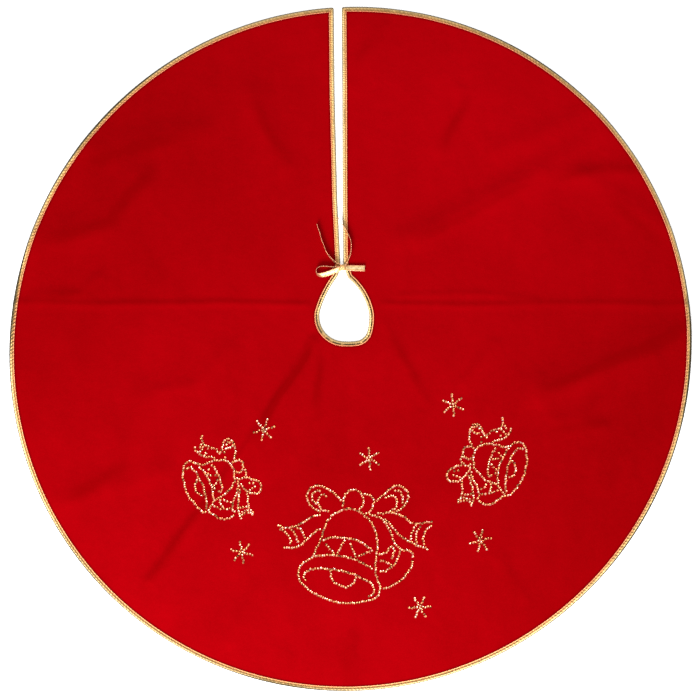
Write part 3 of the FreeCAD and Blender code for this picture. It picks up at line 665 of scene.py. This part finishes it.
HEM_LONG = 614.8
HEM_SHORT = 605.2
HEM_TURN = math.radians(50)
BINDING_WIDTH = 8.5
COLLAR_MIDDLE = np.array([-11.0, 58.0])
COLLAR_RADIUS = 44.5
COLLAR_CORNER = np.array([8.0, 37.0])
CORNER_RADIUS = 23
FRONT_SIDE_RADIUS = 150
RIGHT_SIDE_RADIUS = 110
SHOULDER_Y = 65.7
FOOT_Y = 146
SLIT_RIGHT = [(-4.5, 127), (-12.8, 152), (-14, 265), (-14.5, 460), (-16, 640)]
SLIT_LEFT = [(-22, 131), (-18, 152), (-23.5, 265), (-28.5, 460), (-30, 640)]
SHOULDER_LEFT_RADIUS = 190
SHOULDER_RIGHT_RADIUS = 105
EDGE_STEP = 0.5
CORNER_SOFTNESS = 5


def shallow_arc(start, end, radius):
    """Points from start to end along an arc whose centre lies on the left of that way."""
    start, end = np.array(start, float), np.array(end, float)
    chord = end - start
    reach = np.hypot(*chord)
    across = np.array([-chord[1], chord[0]]) / reach
    centre = (start + end) / 2 + across * math.sqrt(radius ** 2 - (reach / 2) ** 2)
    half = math.asin(reach / 2 / radius)
    middle = math.atan2(-across[1], -across[0])
    angles = np.linspace(middle - half, middle + half, 40)
    return centre + radius * np.stack([np.cos(angles), np.sin(angles)], -1)


def collar_side(radius, way):
    """The centre of a shallow side between the collar's round left and its corner, and its two ends."""
    reach, other = radius - COLLAR_RADIUS, radius - CORNER_RADIUS
    apart = COLLAR_CORNER - COLLAR_MIDDLE
    distance = np.hypot(*apart)
    apart = apart / distance
    along = (reach ** 2 - other ** 2 + distance ** 2) / (2 * distance)
    off = way * math.sqrt(reach ** 2 - along ** 2)
    centre = COLLAR_MIDDLE + along * apart + off * np.array([-apart[1], apart[0]])
    ends = []
    for middle, round_radius in ((COLLAR_MIDDLE, COLLAR_RADIUS), (COLLAR_CORNER, CORNER_RADIUS)):
        ends.append(middle + round_radius * (middle - centre) / np.hypot(*(middle - centre)))
    return centre, ends


def clockwise_arc(centre, start, end):
    """Points from start to end, clockwise about a centre."""
    start, end = np.asarray(start, float) - centre, np.asarray(end, float) - centre
    first, last = math.atan2(start[1], start[0]), math.atan2(end[1], end[0])
    if last > first:
        last -= 2 * math.pi
    angles = np.linspace(first, last, 60)
    return centre + np.hypot(*start) * np.stack([np.cos(angles), np.sin(angles)], -1)


def collar_line(shoulder_right, shoulder_left):
    """The collar's free edge from its right shoulder round the front to its left shoulder."""
    right_centre, (right_top, right_low) = collar_side(RIGHT_SIDE_RADIUS, -1)
    front_centre, (front_left, front_right) = collar_side(FRONT_SIDE_RADIUS, 1)
    return np.concatenate([
        clockwise_arc(COLLAR_MIDDLE, shoulder_right, right_top),
        clockwise_arc(right_centre, right_top, right_low)[1:],
        clockwise_arc(COLLAR_CORNER, right_low, front_right)[1:],
        clockwise_arc(front_centre, front_right, front_left)[1:],
        clockwise_arc(COLLAR_MIDDLE, front_left, shoulder_left)[1:],
    ])


def hem_point(angle):
    """The hem's edge at an angle from its long axis."""
    along, out = HEM_LONG * np.cos(angle), HEM_SHORT * np.sin(angle)
    return np.stack([along * math.cos(HEM_TURN) - out * math.sin(HEM_TURN),
                     along * math.sin(HEM_TURN) + out * math.cos(HEM_TURN)], -1)


def hem_shares(x, y):
    """How far a place is along the hem's long and short axes, as shares of its half axes."""
    along = x * math.cos(HEM_TURN) + y * math.sin(HEM_TURN)
    out = y * math.cos(HEM_TURN) - x * math.sin(HEM_TURN)
    return along / HEM_LONG, out / HEM_SHORT


def hem_corner(slit):
    """Where a slit edge meets the hem, and the hem's angle there."""
    (x0, y0), (x1, y1) = slit[-2:]
    near, far = 0.0, 1.0
    for _ in range(50):
        middle = (near + far) / 2
        along, out = hem_shares(x0 + middle * (x1 - x0), y0 + middle * (y1 - y0))
        if along ** 2 + out ** 2 < 1:
            near = middle
        else:
            far = middle
    x, y = x0 + near * (x1 - x0), y0 + near * (y1 - y0)
    along, out = hem_shares(x, y)
    return (x, y), math.atan2(out, along)


def eased_loop(line, spread):
    """A closed line with its corners eased over a few points."""
    offsets = np.arange(-3 * spread, 3 * spread + 1)
    weights = np.exp(-0.5 * (offsets / spread) ** 2)
    weights /= weights.sum()
    return sum(weight * np.roll(line, -offset, axis=0) for offset, weight in zip(offsets, weights))


def cloth_edge():
    """The whole free edge as one loop with the cloth on its left, from the right hem corner inwards."""
    corner_right, angle_right = hem_corner(SLIT_RIGHT)
    corner_left, angle_left = hem_corner(SLIT_LEFT)
    rise = math.asin((SHOULDER_Y - COLLAR_MIDDLE[1]) / COLLAR_RADIUS)
    out = COLLAR_RADIUS * math.cos(rise)
    shoulder_right = (COLLAR_MIDDLE[0] + out, SHOULDER_Y)
    shoulder_left = (COLLAR_MIDDLE[0] - out, SHOULDER_Y)
    way_down = [corner_right] + SLIT_RIGHT[::-1][1:-1]
    way_up = SLIT_LEFT[1:-1] + [corner_left]
    angles = np.linspace(angle_left, angle_right + 2 * math.pi, 1200)
    loop = np.concatenate([
        way_down,
        shallow_arc(shoulder_right, SLIT_RIGHT[0], SHOULDER_RIGHT_RADIUS)[::-1],
        collar_line(shoulder_right, shoulder_left)[1:-1],
        shallow_arc(SLIT_LEFT[0], shoulder_left, SHOULDER_LEFT_RADIUS)[::-1],
        way_up,
        hem_point(angles)[1:-1],
    ])
    loop = np.concatenate([loop, loop[:1]])
    return eased_loop(even_points(loop, EDGE_STEP)[:-1], CORNER_SOFTNESS), corner_left


EDGE, CORNER_LEFT = cloth_edge()
EDGE_RUN = unit(np.roll(EDGE, -1, axis=0) - np.roll(EDGE, 1, axis=0))
INTO_CLOTH = np.stack([-EDGE_RUN[:, 1], EDGE_RUN[:, 0]], -1)


def edge_index(place, first=0, last=None):
    """Which point of the edge is nearest to a place."""
    stretch = EDGE[first:last]
    return first + int(np.argmin(np.hypot(stretch[:, 0] - place[0], stretch[:, 1] - place[1])))


AT_COLLAR_FRONT = edge_index((0, 14))
AT_RIGHT_FOOT = edge_index((-10.5, FOOT_Y), 0, AT_COLLAR_FRONT)
AT_LEFT_CORNER = edge_index(CORNER_LEFT)
AT_LEFT_FOOT = edge_index((-19.0, FOOT_Y), AT_COLLAR_FRONT, AT_LEFT_CORNER)


def edge_stretch(first, last):
    """The points of the edge from one index to another, and the way into the cloth at each."""
    places = np.arange(first, last + 1) % len(EDGE)
    return EDGE[places], INTO_CLOTH[places]


# ---------------------------------------------------------------- velvet, lining and backings


def cloth_grid(inset, rounds, rows, height):
    """A grid over the whole skirt, from the neck out to the hem, at a height over the floor."""

    def side(first, last, count):
        edge, inward = edge_stretch(first, last)
        return spaced(edge + inset * inward, count)

    neck = side(AT_RIGHT_FOOT, AT_LEFT_FOOT, rounds)
    hem = side(AT_LEFT_CORNER, len(EDGE), rounds)[::-1]
    right = side(0, AT_RIGHT_FOOT, rows)[::-1]
    left = side(AT_LEFT_FOOT, AT_LEFT_CORNER, rows)
    across = np.linspace(0, 1, rounds)[None, :, None]
    out = np.linspace(0, 1, rows)[:, None, None]
    between = ((1 - out) * neck[None] + out * hem[None]
               + (1 - across) * right[:, None] + across * left[:, None])
    corners = ((1 - out) * ((1 - across) * neck[0] + across * neck[-1])
               + out * ((1 - across) * hem[0] + across * hem[-1]))
    flat = between - corners
    return on_cloth(np.concatenate([flat, np.full(flat.shape[:2] + (1,), height)], -1))


# The height of each layer's upper face and its thickness, in millimetres.
LINING_TOP, LINING_THICKNESS = 0.8, 0.4
BACKING_TOP, BACKING_THICKNESS = 0.99, 0.18
VELVET_TOP, VELVET_THICKNESS = 2.2, 1.2


def distance_from_tape(points):
    """How far points lie from the inner edge of the tape."""
    tree = kdtree.KDTree(len(EDGE))
    for index, (x, y) in enumerate(EDGE):
        tree.insert((x, y, 0), index)
    tree.balance()
    return np.array([tree.find((x, y, 0))[2] for x, y, _ in points]) - BINDING_WIDTH


# Patches where the velvet is made paler or darker: the middle, the reach and how much paler the velvet looks.
TONE_PATCHES = [((-400, 350), 170, -0.22), ((-570, 10), 130, -0.2), ((450, -330), 180, -0.26),
                ((590, 10), 150, -0.24), ((340, 400), 180, 0.26), ((70, 500), 140, 0.18),
                ((0, -240), 120, -0.12)]
# Creases where painted shade darkens the velvet: the line, how much darker the velvet looks, and half its
# width.
CREASES = [
    ([(-50, 34), (-120, -72), (-185, -176)], 0.6, 5.5),
    ([(-205, -200), (-290, -312), (-382, -442)], 0.35, 7),
    ([(-57, 5), (-60, -145)], 0.3, 5.5),
    ([(55, 56), (140, -105)], 0.25, 7),
    ([(630, 53), (517, -2), (320, -80)], 0.4, 8),
    ([(95, 182), (230, 250), (350, 306)], 0.22, 5.5),
    ([(330, 298), (440, 322), (580, 318)], 0.3, 7),
    ([(436, 292), (535, 204), (580, 180)], 0.28, 9),
    ([(222, 478), (152, 330)], 0.35, 7),
    ([(-187, 470), (-100, 314)], 0.3, 7),
    ([(-338, 338), (-429, 230), (-575, 183)], 0.36, 9),
    ([(-540, -281), (-375, -197)], 0.4, 9),
    ([(-510, 322), (-270, 388)], 0.28, 9),
    ([(52, 588), (0, 490)], 0.32, 8),
    ([(325, -145), (500, -127)], 0.24, 7),
    ([(-580, 88), (-465, 105), (-438, 136)], 0.25, 7),
    ([(-12, -500), (2, -625)], 0.28, 10),
    ([(240, 8), (178, -76)], 0.2, 6),
    ([(260, -374), (312, -464)], 0.28, 7),
    ([(-630, 86), (-430, 83), (-240, 86), (-50, 83)], 0.14, 4),
    ([(40, 84), (210, 81), (380, 85), (640, 82)], 0.12, 4),
]
CREASE_FADE = 70


def patch_tone_and_crease_shade(points):
    """How much paler or darker the velvet is made at each point by its patches, with painted shade along its
    creases.
    """
    pile = np.zeros(len(points))
    for (x, y), reach, paler in TONE_PATCHES:
        away = np.hypot(points[:, 0] - x, points[:, 1] - y)
        pile += paler * np.exp(-0.5 * (away / reach) ** 2)
    x = points[:, 0] + 3 * np.sin(points[:, 1] / 19)
    y = points[:, 1] + 2 * np.sin(points[:, 0] / 27)
    # Painted shade along each crease, fading towards its ends.
    for line, darker, half_width in CREASES:
        away = distance_to_line(x, y, line)
        for end_x, end_y in (line[0], line[-1]):
            darker = darker * smooth_step(np.hypot(x - end_x, y - end_y), 0, CREASE_FADE)
        pile -= darker * np.exp(-0.5 * (away / half_width) ** 2)
    return pile


def add_cloth(name, node, slot, finish, grid, thickness):
    """One whole layer of the skirt's cloth."""
    points, faces = sheet_mesh(grid, thickness)
    piece = make_piece(name, points, faces, [finish], slot=slot, from_tape=distance_from_tape(points),
                       pile=patch_tone_and_crease_shade(points))
    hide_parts(node)


lining_grid = cloth_grid(inset=1.6, rounds=640, rows=130, height=LINING_TOP)
velvet_grid = cloth_grid(inset=1.2, rounds=760, rows=150, height=VELVET_TOP)
add_cloth("lining_cloth", "lining", "lining", LINING, lining_grid, LINING_THICKNESS)
add_cloth("velvet", "velvet_face", "velvet", VELVET, velvet_grid, VELVET_THICKNESS)

# Each backing: the middle of its oval, half its two axes, and how far its long axis is turned.
BACKINGS = {
    "backing_front": [((8, -350), (158, 118), 0)],
    "backing_left": [((-230, -230), (94, 84), 60)],
    "backing_right": [((243, -200), (96, 84), -60)],
    "backing_snowflakes": [],
}
SNOWFLAKE_BACKING_RADIUS = 23
for number in range(1, 7):
    low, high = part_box("sequins_snowflake_%d" % number)
    middle = (low + high) / 2 / MM
    BACKINGS["backing_snowflakes"].append(((middle.x, middle.y), (SNOWFLAKE_BACKING_RADIUS,) * 2, 0))


def round_grid(middle, axes, turn, height):
    """A grid over an oval, from a tiny hole in its middle out to its edge, fine enough to follow folds."""
    rows = max(14, round(axes[0] / 3))
    rounds = max(73, round(2 * math.pi * axes[0] / 3.5))
    turn = math.radians(turn)
    angles = np.linspace(0, 2 * math.pi, rounds)[None, :]
    shares = np.linspace(0.01, 1, rows)[:, None]
    long, short = axes[0] * shares * np.cos(angles), axes[1] * shares * np.sin(angles)
    x = middle[0] + long * math.cos(turn) - short * math.sin(turn)
    y = middle[1] + long * math.sin(turn) + short * math.cos(turn)
    return on_cloth(np.stack([x, y, np.full(x.shape, height)], -1))


def add_backing(node, ovals):
    """Stiff non-woven backing under one motif, or under all the snowflakes."""
    all_points, all_faces = [], []
    area = 0
    for middle, axes, turn in ovals:
        points, faces = sheet_mesh(round_grid(middle, axes, turn, BACKING_TOP), BACKING_THICKNESS)
        start = sum(len(each) for each in all_points)
        all_points.append(points)
        all_faces += [[start + corner for corner in face] for face in faces]
        area += math.pi * axes[0] * axes[1] * MM * MM
    piece = make_piece(node + "_cloth", np.concatenate(all_points), all_faces, [BACKING], slot="backing")
    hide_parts(node)
    wide, long = 2 * ovals[0][1][0] * MM, 2 * ovals[0][1][1] * MM
    wide * len(ovals)


for backing_node, backing_ovals in BACKINGS.items():
    add_backing(backing_node, backing_ovals)

# ---------------------------------------------------------------- folded tape on every edge

# The tape's section: how far it reaches into the cloth, as a share of its width, and its height.
TAPE_OUTSIDE = [(1.0, 0.0), (0.72, 0.0), (0.42, 0.0), (0.18, 0.02), (0.06, 0.3), (0.01, 0.9), (0.0, 1.5),
                (0.025, 2.1), (0.1, 2.66), (0.22, 2.98), (0.38, 3.14), (0.54, 3.02), (0.66, 2.78),
                (0.735, 2.54), (0.8, 2.76), (0.9, 3.04), (1.0, 2.98)]
TAPE_INSIDE = [(1.0, 2.62), (0.9, 2.66), (0.8, 2.4), (0.735, 2.24), (0.66, 2.4), (0.54, 2.66), (0.38, 2.78),
               (0.22, 2.64), (0.14, 2.35), (0.075, 1.9), (0.06, 1.4), (0.08, 0.8), (0.18, 0.38), (0.42, 0.36),
               (0.72, 0.36), (1.0, 0.36)]
STITCH_ROW = 0.735
STITCH_PITCH = 2.9
STITCH_HEIGHT = 2.56
# A topstitch, in sixths of its pitch: how far along each ring of its thread is, its radius and its lift.
TOPSTITCH_SHAPE = [(0, 0.06, -0.12), (1, 0.17, 0.10), (2.5, 0.2, 0.2), (4, 0.17, 0.10), (5, 0.06, -0.12)]
CORNER_EASE = 15


def tape_rails(first, last, step, corner_first, corner_last):
    """The tape's free edge and its inner edge, which meet at a mitre at a corner of the hem."""
    edge, inward = edge_stretch(first, last)
    reach = np.arange(len(edge)) * EDGE_STEP
    total = reach[-1]
    places = np.linspace(0, total, int(round(total / step)) + 1)
    inner_places = places.copy()
    if corner_first:
        near = places < CORNER_EASE
        inner_places[near] = BINDING_WIDTH + places[near] * (CORNER_EASE - BINDING_WIDTH) / CORNER_EASE
    if corner_last:
        near = total - places < CORNER_EASE
        left = (total - places[near]) * (CORNER_EASE - BINDING_WIDTH) / CORNER_EASE
        inner_places[near] = total - BINDING_WIDTH - left
    outer = points_at(places, reach, edge)
    inner = points_at(inner_places, reach, edge + BINDING_WIDTH * inward)
    return places, outer, inner


# Places on the hem where more painted shade goes into the pucker valleys and along the fold: the middle, the
# reach, and how much of each.
HEM_SHADE_PLACES = [((-606, 30), 55, 0.6, 0.4), ((-600, 100), 50, 0.1, 0.9), ((-430, 430), 110, 0.2, 0.6),
                ((606, -20), 80, 0.3, 0.8), ((520, -310), 90, 0.3, 0.4), ((-120, -595), 70, 0.1, 0.5),
                ((-480, -370), 90, 0.3, 0.3), ((330, 510), 100, 0.2, 0.3)]


def hem_shade_strength(base, places, kind):
    """How strong the painted shade is in the pucker valleys (kind 0) or along the fold (kind 1) at places
    along the tape.
    """
    total = np.full(len(places), float(base))
    for (x, y), reach, *amounts in HEM_SHADE_PLACES:
        away = np.hypot(places[:, 0] - x, places[:, 1] - y)
        total += amounts[kind] * np.exp(-0.5 * (away / reach) ** 2)
    return total


def add_binding(node, stretch, step, puckers, darks, corners):
    """A length of folded tape, puckered and drawn in by its stitches, over the cloth's edge."""
    pucker, slant, depth = puckers
    draw, gather, rolled = darks
    places, outer, inner = tape_rails(*stretch, step, *corners)
    section = np.array(TAPE_OUTSIDE + TAPE_INSIDE)
    shares, heights = section[:, 0], section[:, 1]
    upper = smooth_step(heights, 1.6, 2.6) * np.sin(math.pi * np.clip(shares, 0.02, 1)) ** 0.7
    drift = 1.3 * np.sin(places / 41) + 0.8 * np.sin(places / 17.3 + 2)
    phase = 2 * math.pi * (places[:, None] + slant * shares[None] * BINDING_WIDTH) / pucker + drift[:, None]
    swell = 1 + 0.35 * np.sin(places / 23 + 1)[:, None]
    rise = depth * swell * upper[None] * np.sin(phase)
    nip = 0.02 * np.sin(phase) * (1 - shares[None]) * (shares[None] > 0)
    position = outer[:, None] + (shares[None] + nip)[..., None] * (inner - outer)[:, None]
    height = heights[None] + rise
    rings = on_cloth(np.concatenate([position, height[..., None]], -1))
    rings[..., 2] = np.maximum(rings[..., 2], 0.0)
    stations, around = rings.shape[:2]
    piece = make_piece(node + "_tape", rings.reshape(-1, 3), ring_faces(stations, around), [TAPE],
                       slot="binding_tape", along=np.repeat(places, around),
                       across=np.tile(shares, stations), pucker=(upper[None] * np.sin(phase)).reshape(-1),
                       draw=np.full(stations * around, draw),
                       gather=np.repeat(hem_shade_strength(gather, outer, 0), around),
                       rolled=np.repeat(hem_shade_strength(rolled, outer, 1), around))
    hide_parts(node)
    return piece


def add_topstitch(name, parent, stretch, corners):
    """The row of stitches that holds a length of tape down, close to its inner edge."""
    _, outer, inner = tape_rails(*stretch, EDGE_STEP, *corners)
    row = even_points(outer + STITCH_ROW * (inner - outer), STITCH_PITCH / 6)
    row = np.concatenate([row, np.zeros((len(row), 1))], -1)
    run = unit(np.gradient(row, axis=0))
    side = np.stack([-run[:, 1], run[:, 0], np.zeros(len(run))], -1)
    points, faces = [], []
    angles = np.arange(6) * math.pi / 3
    stitch_faces = ring_faces(len(TOPSTITCH_SHAPE), len(angles))
    for start in range(0, len(row) - 6, 6):
        first_point = len(points) * len(angles)
        for step, radius, lift in TOPSTITCH_SHAPE:
            low = int(step)
            middle = row[start + low] + (step - low) * (row[start + low + 1] - row[start + low])
            ring = (middle + radius * np.cos(angles)[:, None] * side[start + low]
                    + radius * np.sin(angles)[:, None] * np.array([0, 0, 1.0]))
            ring[:, 2] += STITCH_HEIGHT + lift
            points.append(ring)
        faces += [[first_point + corner for corner in face] for face in stitch_faces]
    piece = make_piece(name, on_cloth(np.concatenate(points)), faces, [TOPSTITCH_THREAD], slot="binding_tape")
    piece.parent = parent


SLIT_PUCKERS = (3.2, 0.15, 0.2)
SLIT_DARKS = (0.15, 0.25, 0.12)
# Each length of tape: its stretch of edge, the spacing of its rings, its puckers as pitch, slant and depth,
# how strong its painted shade is along its stitch groove, in its pucker valleys and at its fold, and whether
# it has a corner at each end.
BINDINGS = [
    ("hem_binding", (AT_LEFT_CORNER, len(EDGE)), 1.1, (6.4, 0.75, 0.3), (0.5, 0.3, 0.5), (True, True)),
    ("slit_binding_right", (0, AT_RIGHT_FOOT), 0.55, SLIT_PUCKERS, SLIT_DARKS, (True, False)),
    ("slit_binding_left", (AT_LEFT_FOOT, AT_LEFT_CORNER), 0.55, SLIT_PUCKERS, SLIT_DARKS, (False, True)),
    ("neck_binding", (AT_RIGHT_FOOT, AT_LEFT_FOOT), 0.55, (4.2, 0.25, 0.12), (1.0, 0.2, 0.25),
     (False, False)),
]
for node, stretch, step, puckers, darks, corners in BINDINGS:
    tape = add_binding(node, stretch, step, puckers, darks, corners)
    add_topstitch("topstitch_" + node.replace("_binding", ""), tape, stretch, corners)

# ---------------------------------------------------------------- sequins


def sequin_middles(node):
    """The middle of every sequin in a CAD node, in millimetres."""
    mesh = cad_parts[node].data
    points = np.zeros(len(mesh.vertices) * 3)
    mesh.vertices.foreach_get("co", points)
    points = points.reshape(-1, 3)
    _, same = np.unique(np.round(points / 2e-6).astype(np.int64), axis=0, return_inverse=True)
    same = same.reshape(-1)
    edges = np.zeros(len(mesh.edges) * 2, np.int32)
    mesh.edges.foreach_get("vertices", edges)
    ends = same[edges.reshape(-1, 2)]
    group = np.arange(same.max() + 1)
    while True:
        lowest = group.copy()
        np.minimum.at(lowest, ends[:, 0], group[ends[:, 1]])
        np.minimum.at(lowest, ends[:, 1], group[ends[:, 0]])
        lowest = lowest[lowest]
        if (lowest == group).all():
            break
        group = lowest
    owner = group[same]
    middles = []
    for each in np.unique(owner):
        island = points[owner == each]
        middles.append((island.min(0) + island.max(0)) / 2 / MM)
    return np.array(middles)


SEQUIN_AROUND = 12
# A cup sequin's section, from the hole to the rim: radius and height, upper face then lower face.
SEQUIN_UPPER = [(0.5, 0.10), (0.95, 0.13), (1.45, 0.30), (1.92, 0.62), (1.99, 0.60)]
SEQUIN_LOWER = [(1.97, 0.53), (1.42, 0.19), (0.95, 0.03), (0.5, 0.0)]


def sequin_shape():
    """Points, faces and radii of one faceted cup sequin about the origin."""
    section = np.array(SEQUIN_UPPER + SEQUIN_LOWER)
    angles = np.arange(SEQUIN_AROUND) * 2 * math.pi / SEQUIN_AROUND
    facet = 1 - 0.035 * (1 - np.cos(6 * angles)) / 2
    spread = np.where(section[:, :1] > 1.2, facet[None], 1.0)
    x = section[:, :1] * spread * np.cos(angles)
    y = section[:, :1] * spread * np.sin(angles)
    z = np.repeat(section[:, 1:], SEQUIN_AROUND, 1)
    points = np.stack([x, y, z], -1)
    around = np.arange(SEQUIN_AROUND)
    faces = []
    for ring in range(len(section)):
        following = (ring + 1) % len(section)
        for place in around:
            beside = (place + 1) % SEQUIN_AROUND
            faces.append((ring * SEQUIN_AROUND + place, following * SEQUIN_AROUND + place,
                          following * SEQUIN_AROUND + beside, ring * SEQUIN_AROUND + beside))
    return points.reshape(-1, 3), np.array(faces), np.repeat(section[:, 0] / 2, SEQUIN_AROUND)


def stitch_shape():
    """Points and faces of the stitch that holds a sequin, from its hole over its rim."""
    line = np.array([(-0.15, 0, -0.15), (0.1, 0, 0.28), (1.0, 0, 0.42), (1.95, 0, 0.78), (2.15, 0, 0.1)])
    angles = np.arange(5) * 2 * math.pi / 5
    rings = line[:, None] + 0.11 * np.stack([0 * angles, np.cos(angles), np.sin(angles)], -1)[None]
    return rings.reshape(-1, 3), np.array(ring_faces(len(line), 5, ends=False))


def turned(points, yaw, tip_x, tip_y):
    """Points turned about Z, then tipped a little about X and Y."""
    x, y, z = points.T
    x, y = x * math.cos(yaw) - y * math.sin(yaw), x * math.sin(yaw) + y * math.cos(yaw)
    y, z = y * math.cos(tip_x) - z * math.sin(tip_x), y * math.sin(tip_x) + z * math.cos(tip_x)
    x, z = x * math.cos(tip_y) + z * math.sin(tip_y), z * math.cos(tip_y) - x * math.sin(tip_y)
    return np.stack([x, y, z], -1)


CUP, CUP_FACES, CUP_RADII = sequin_shape()
STITCH, STITCH_FACES = stitch_shape()
# How far the sequins zigzag, stray and tip from an even line, in millimetres and radians.
SEQUIN_ZIGZAG = 0.5
SEQUIN_STRAY, SEQUIN_STRAY_MOST = 0.25, 0.5
SEQUIN_TIP, SEQUIN_TIP_MOST = 0.2, 0.42
SEQUIN_LIFT = 0.35


def ways_across(middles):
    """For each sequin, the way across the line from it to its nearest neighbour."""
    apart = middles[None, :, :2] - middles[:, None, :2]
    reach = np.hypot(apart[..., 0], apart[..., 1])
    np.fill_diagonal(reach, np.inf)
    nearest = reach.argmin(1)
    run = apart[np.arange(len(middles)), nearest] / reach.min(1)[:, None]
    across = np.stack([-run[:, 1], run[:, 0]], -1)
    return np.where(across[:, :1] + 0.3 * across[:, 1:] < 0, -across, across)


def add_sequins(node):
    """Every sequin of one CAD node, each moved, tipped and tinted a little differently, with its stitch."""
    points, faces, kinds, tints, radii, glints = [], [], [], [], [], []
    start = 0
    middles = sequin_middles(node)
    for number, (middle, across) in enumerate(zip(middles, ways_across(middles))):
        yaw = chance.uniform(0, 2 * math.pi)
        tip_x, tip_y = np.clip(chance.normal(0, SEQUIN_TIP, 2), -SEQUIN_TIP_MOST, SEQUIN_TIP_MOST)
        tint = chance.uniform(0, 1)
        stray = np.clip(chance.normal(0, SEQUIN_STRAY, 2), -SEQUIN_STRAY_MOST, SEQUIN_STRAY_MOST)
        stray = SEQUIN_ZIGZAG * (-1) ** number * across + stray
        place = np.array([middle[0] + stray[0], middle[1] + stray[1],
                          VELVET_TOP + lie(middle[0], middle[1]) + SEQUIN_LIFT])
        for shape, shape_faces, kind, shape_radii in ((CUP, CUP_FACES, 0, CUP_RADII),
                                                      (STITCH, STITCH_FACES, 1, np.ones(len(STITCH)))):
            points.append(turned(shape, yaw, tip_x, tip_y) + place)
            faces.append(shape_faces + start)
            kinds.append(np.full(len(shape_faces), kind))
            tints.append(np.full(len(shape), tint))
            radii.append(shape_radii)
            glints.append(shape[:, 0] / 2)
            start += len(shape)
    piece = make_piece(node + "_cups", np.concatenate(points), np.concatenate(faces).tolist(),
                       [SEQUIN, SEQUIN_THREAD], np.concatenate(kinds), flat=True, slot="sequins",
                       tint=np.concatenate(tints), radius=np.concatenate(radii), glint=np.concatenate(glints))
    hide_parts(node)


for sequin_node in sorted(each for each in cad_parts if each.startswith("sequins_")):
    add_sequins(sequin_node)

# ---------------------------------------------------------------- light and floor


FLOOR_HALF = 14.0
FLOOR_HEIGHT = -0.0003
ROOM_STRENGTH = 1.38
LAMP_WATTS = 200
LAMP_SIZE = 1.6
LAMP_PLACE = (-0.9, -2.4, 2.1)
LAMP_TURN = (50.7, 0, -20.6)


def light_studio():
    """A soft bright room, lighter overhead, and one large lamp from the front left."""
    world = bpy.data.worlds.new("soft_room")
    world.use_nodes = True
    room = Nodes(world.node_tree)
    way = room.node("ShaderNodeTexCoord", output="Generated")
    up = room.node("ShaderNodeSeparateXYZ", None, {0: way}, output="Z")
    background = room.tree.nodes["Background"]
    room.put(background.inputs["Color"], room.ramp(up, [(0.0, (0.36, 0.36, 0.37)), (1.0, (1.0, 1.0, 1.0))]))
    room.put(background.inputs["Strength"], ROOM_STRENGTH)
    scene.world = world
    lamp = bpy.data.lights.new("front_left_lamp", "AREA")
    lamp.energy = LAMP_WATTS
    lamp.size = LAMP_SIZE
    holder = bpy.data.objects.new("front_left_lamp", lamp)
    holder.location = LAMP_PLACE
    holder.rotation_euler = [math.radians(turn) for turn in LAMP_TURN]
    scene.collection.objects.link(holder)
    scene.view_settings.view_transform = "Standard"


def add_floor():
    """A plain floor just under the skirt."""
    mesh = bpy.data.meshes.new("floor")
    corners = [(across * FLOOR_HALF, back * FLOOR_HALF, FLOOR_HEIGHT)
               for across, back in ((-1, -1), (1, -1), (1, 1), (-1, 1))]
    mesh.from_pydata(corners, [], [(0, 1, 2, 3)])
    mesh.materials.append(FLOOR)
    floor = bpy.data.objects.new("floor", mesh)
    scene.collection.objects.link(floor)


light_studio()
add_floor()
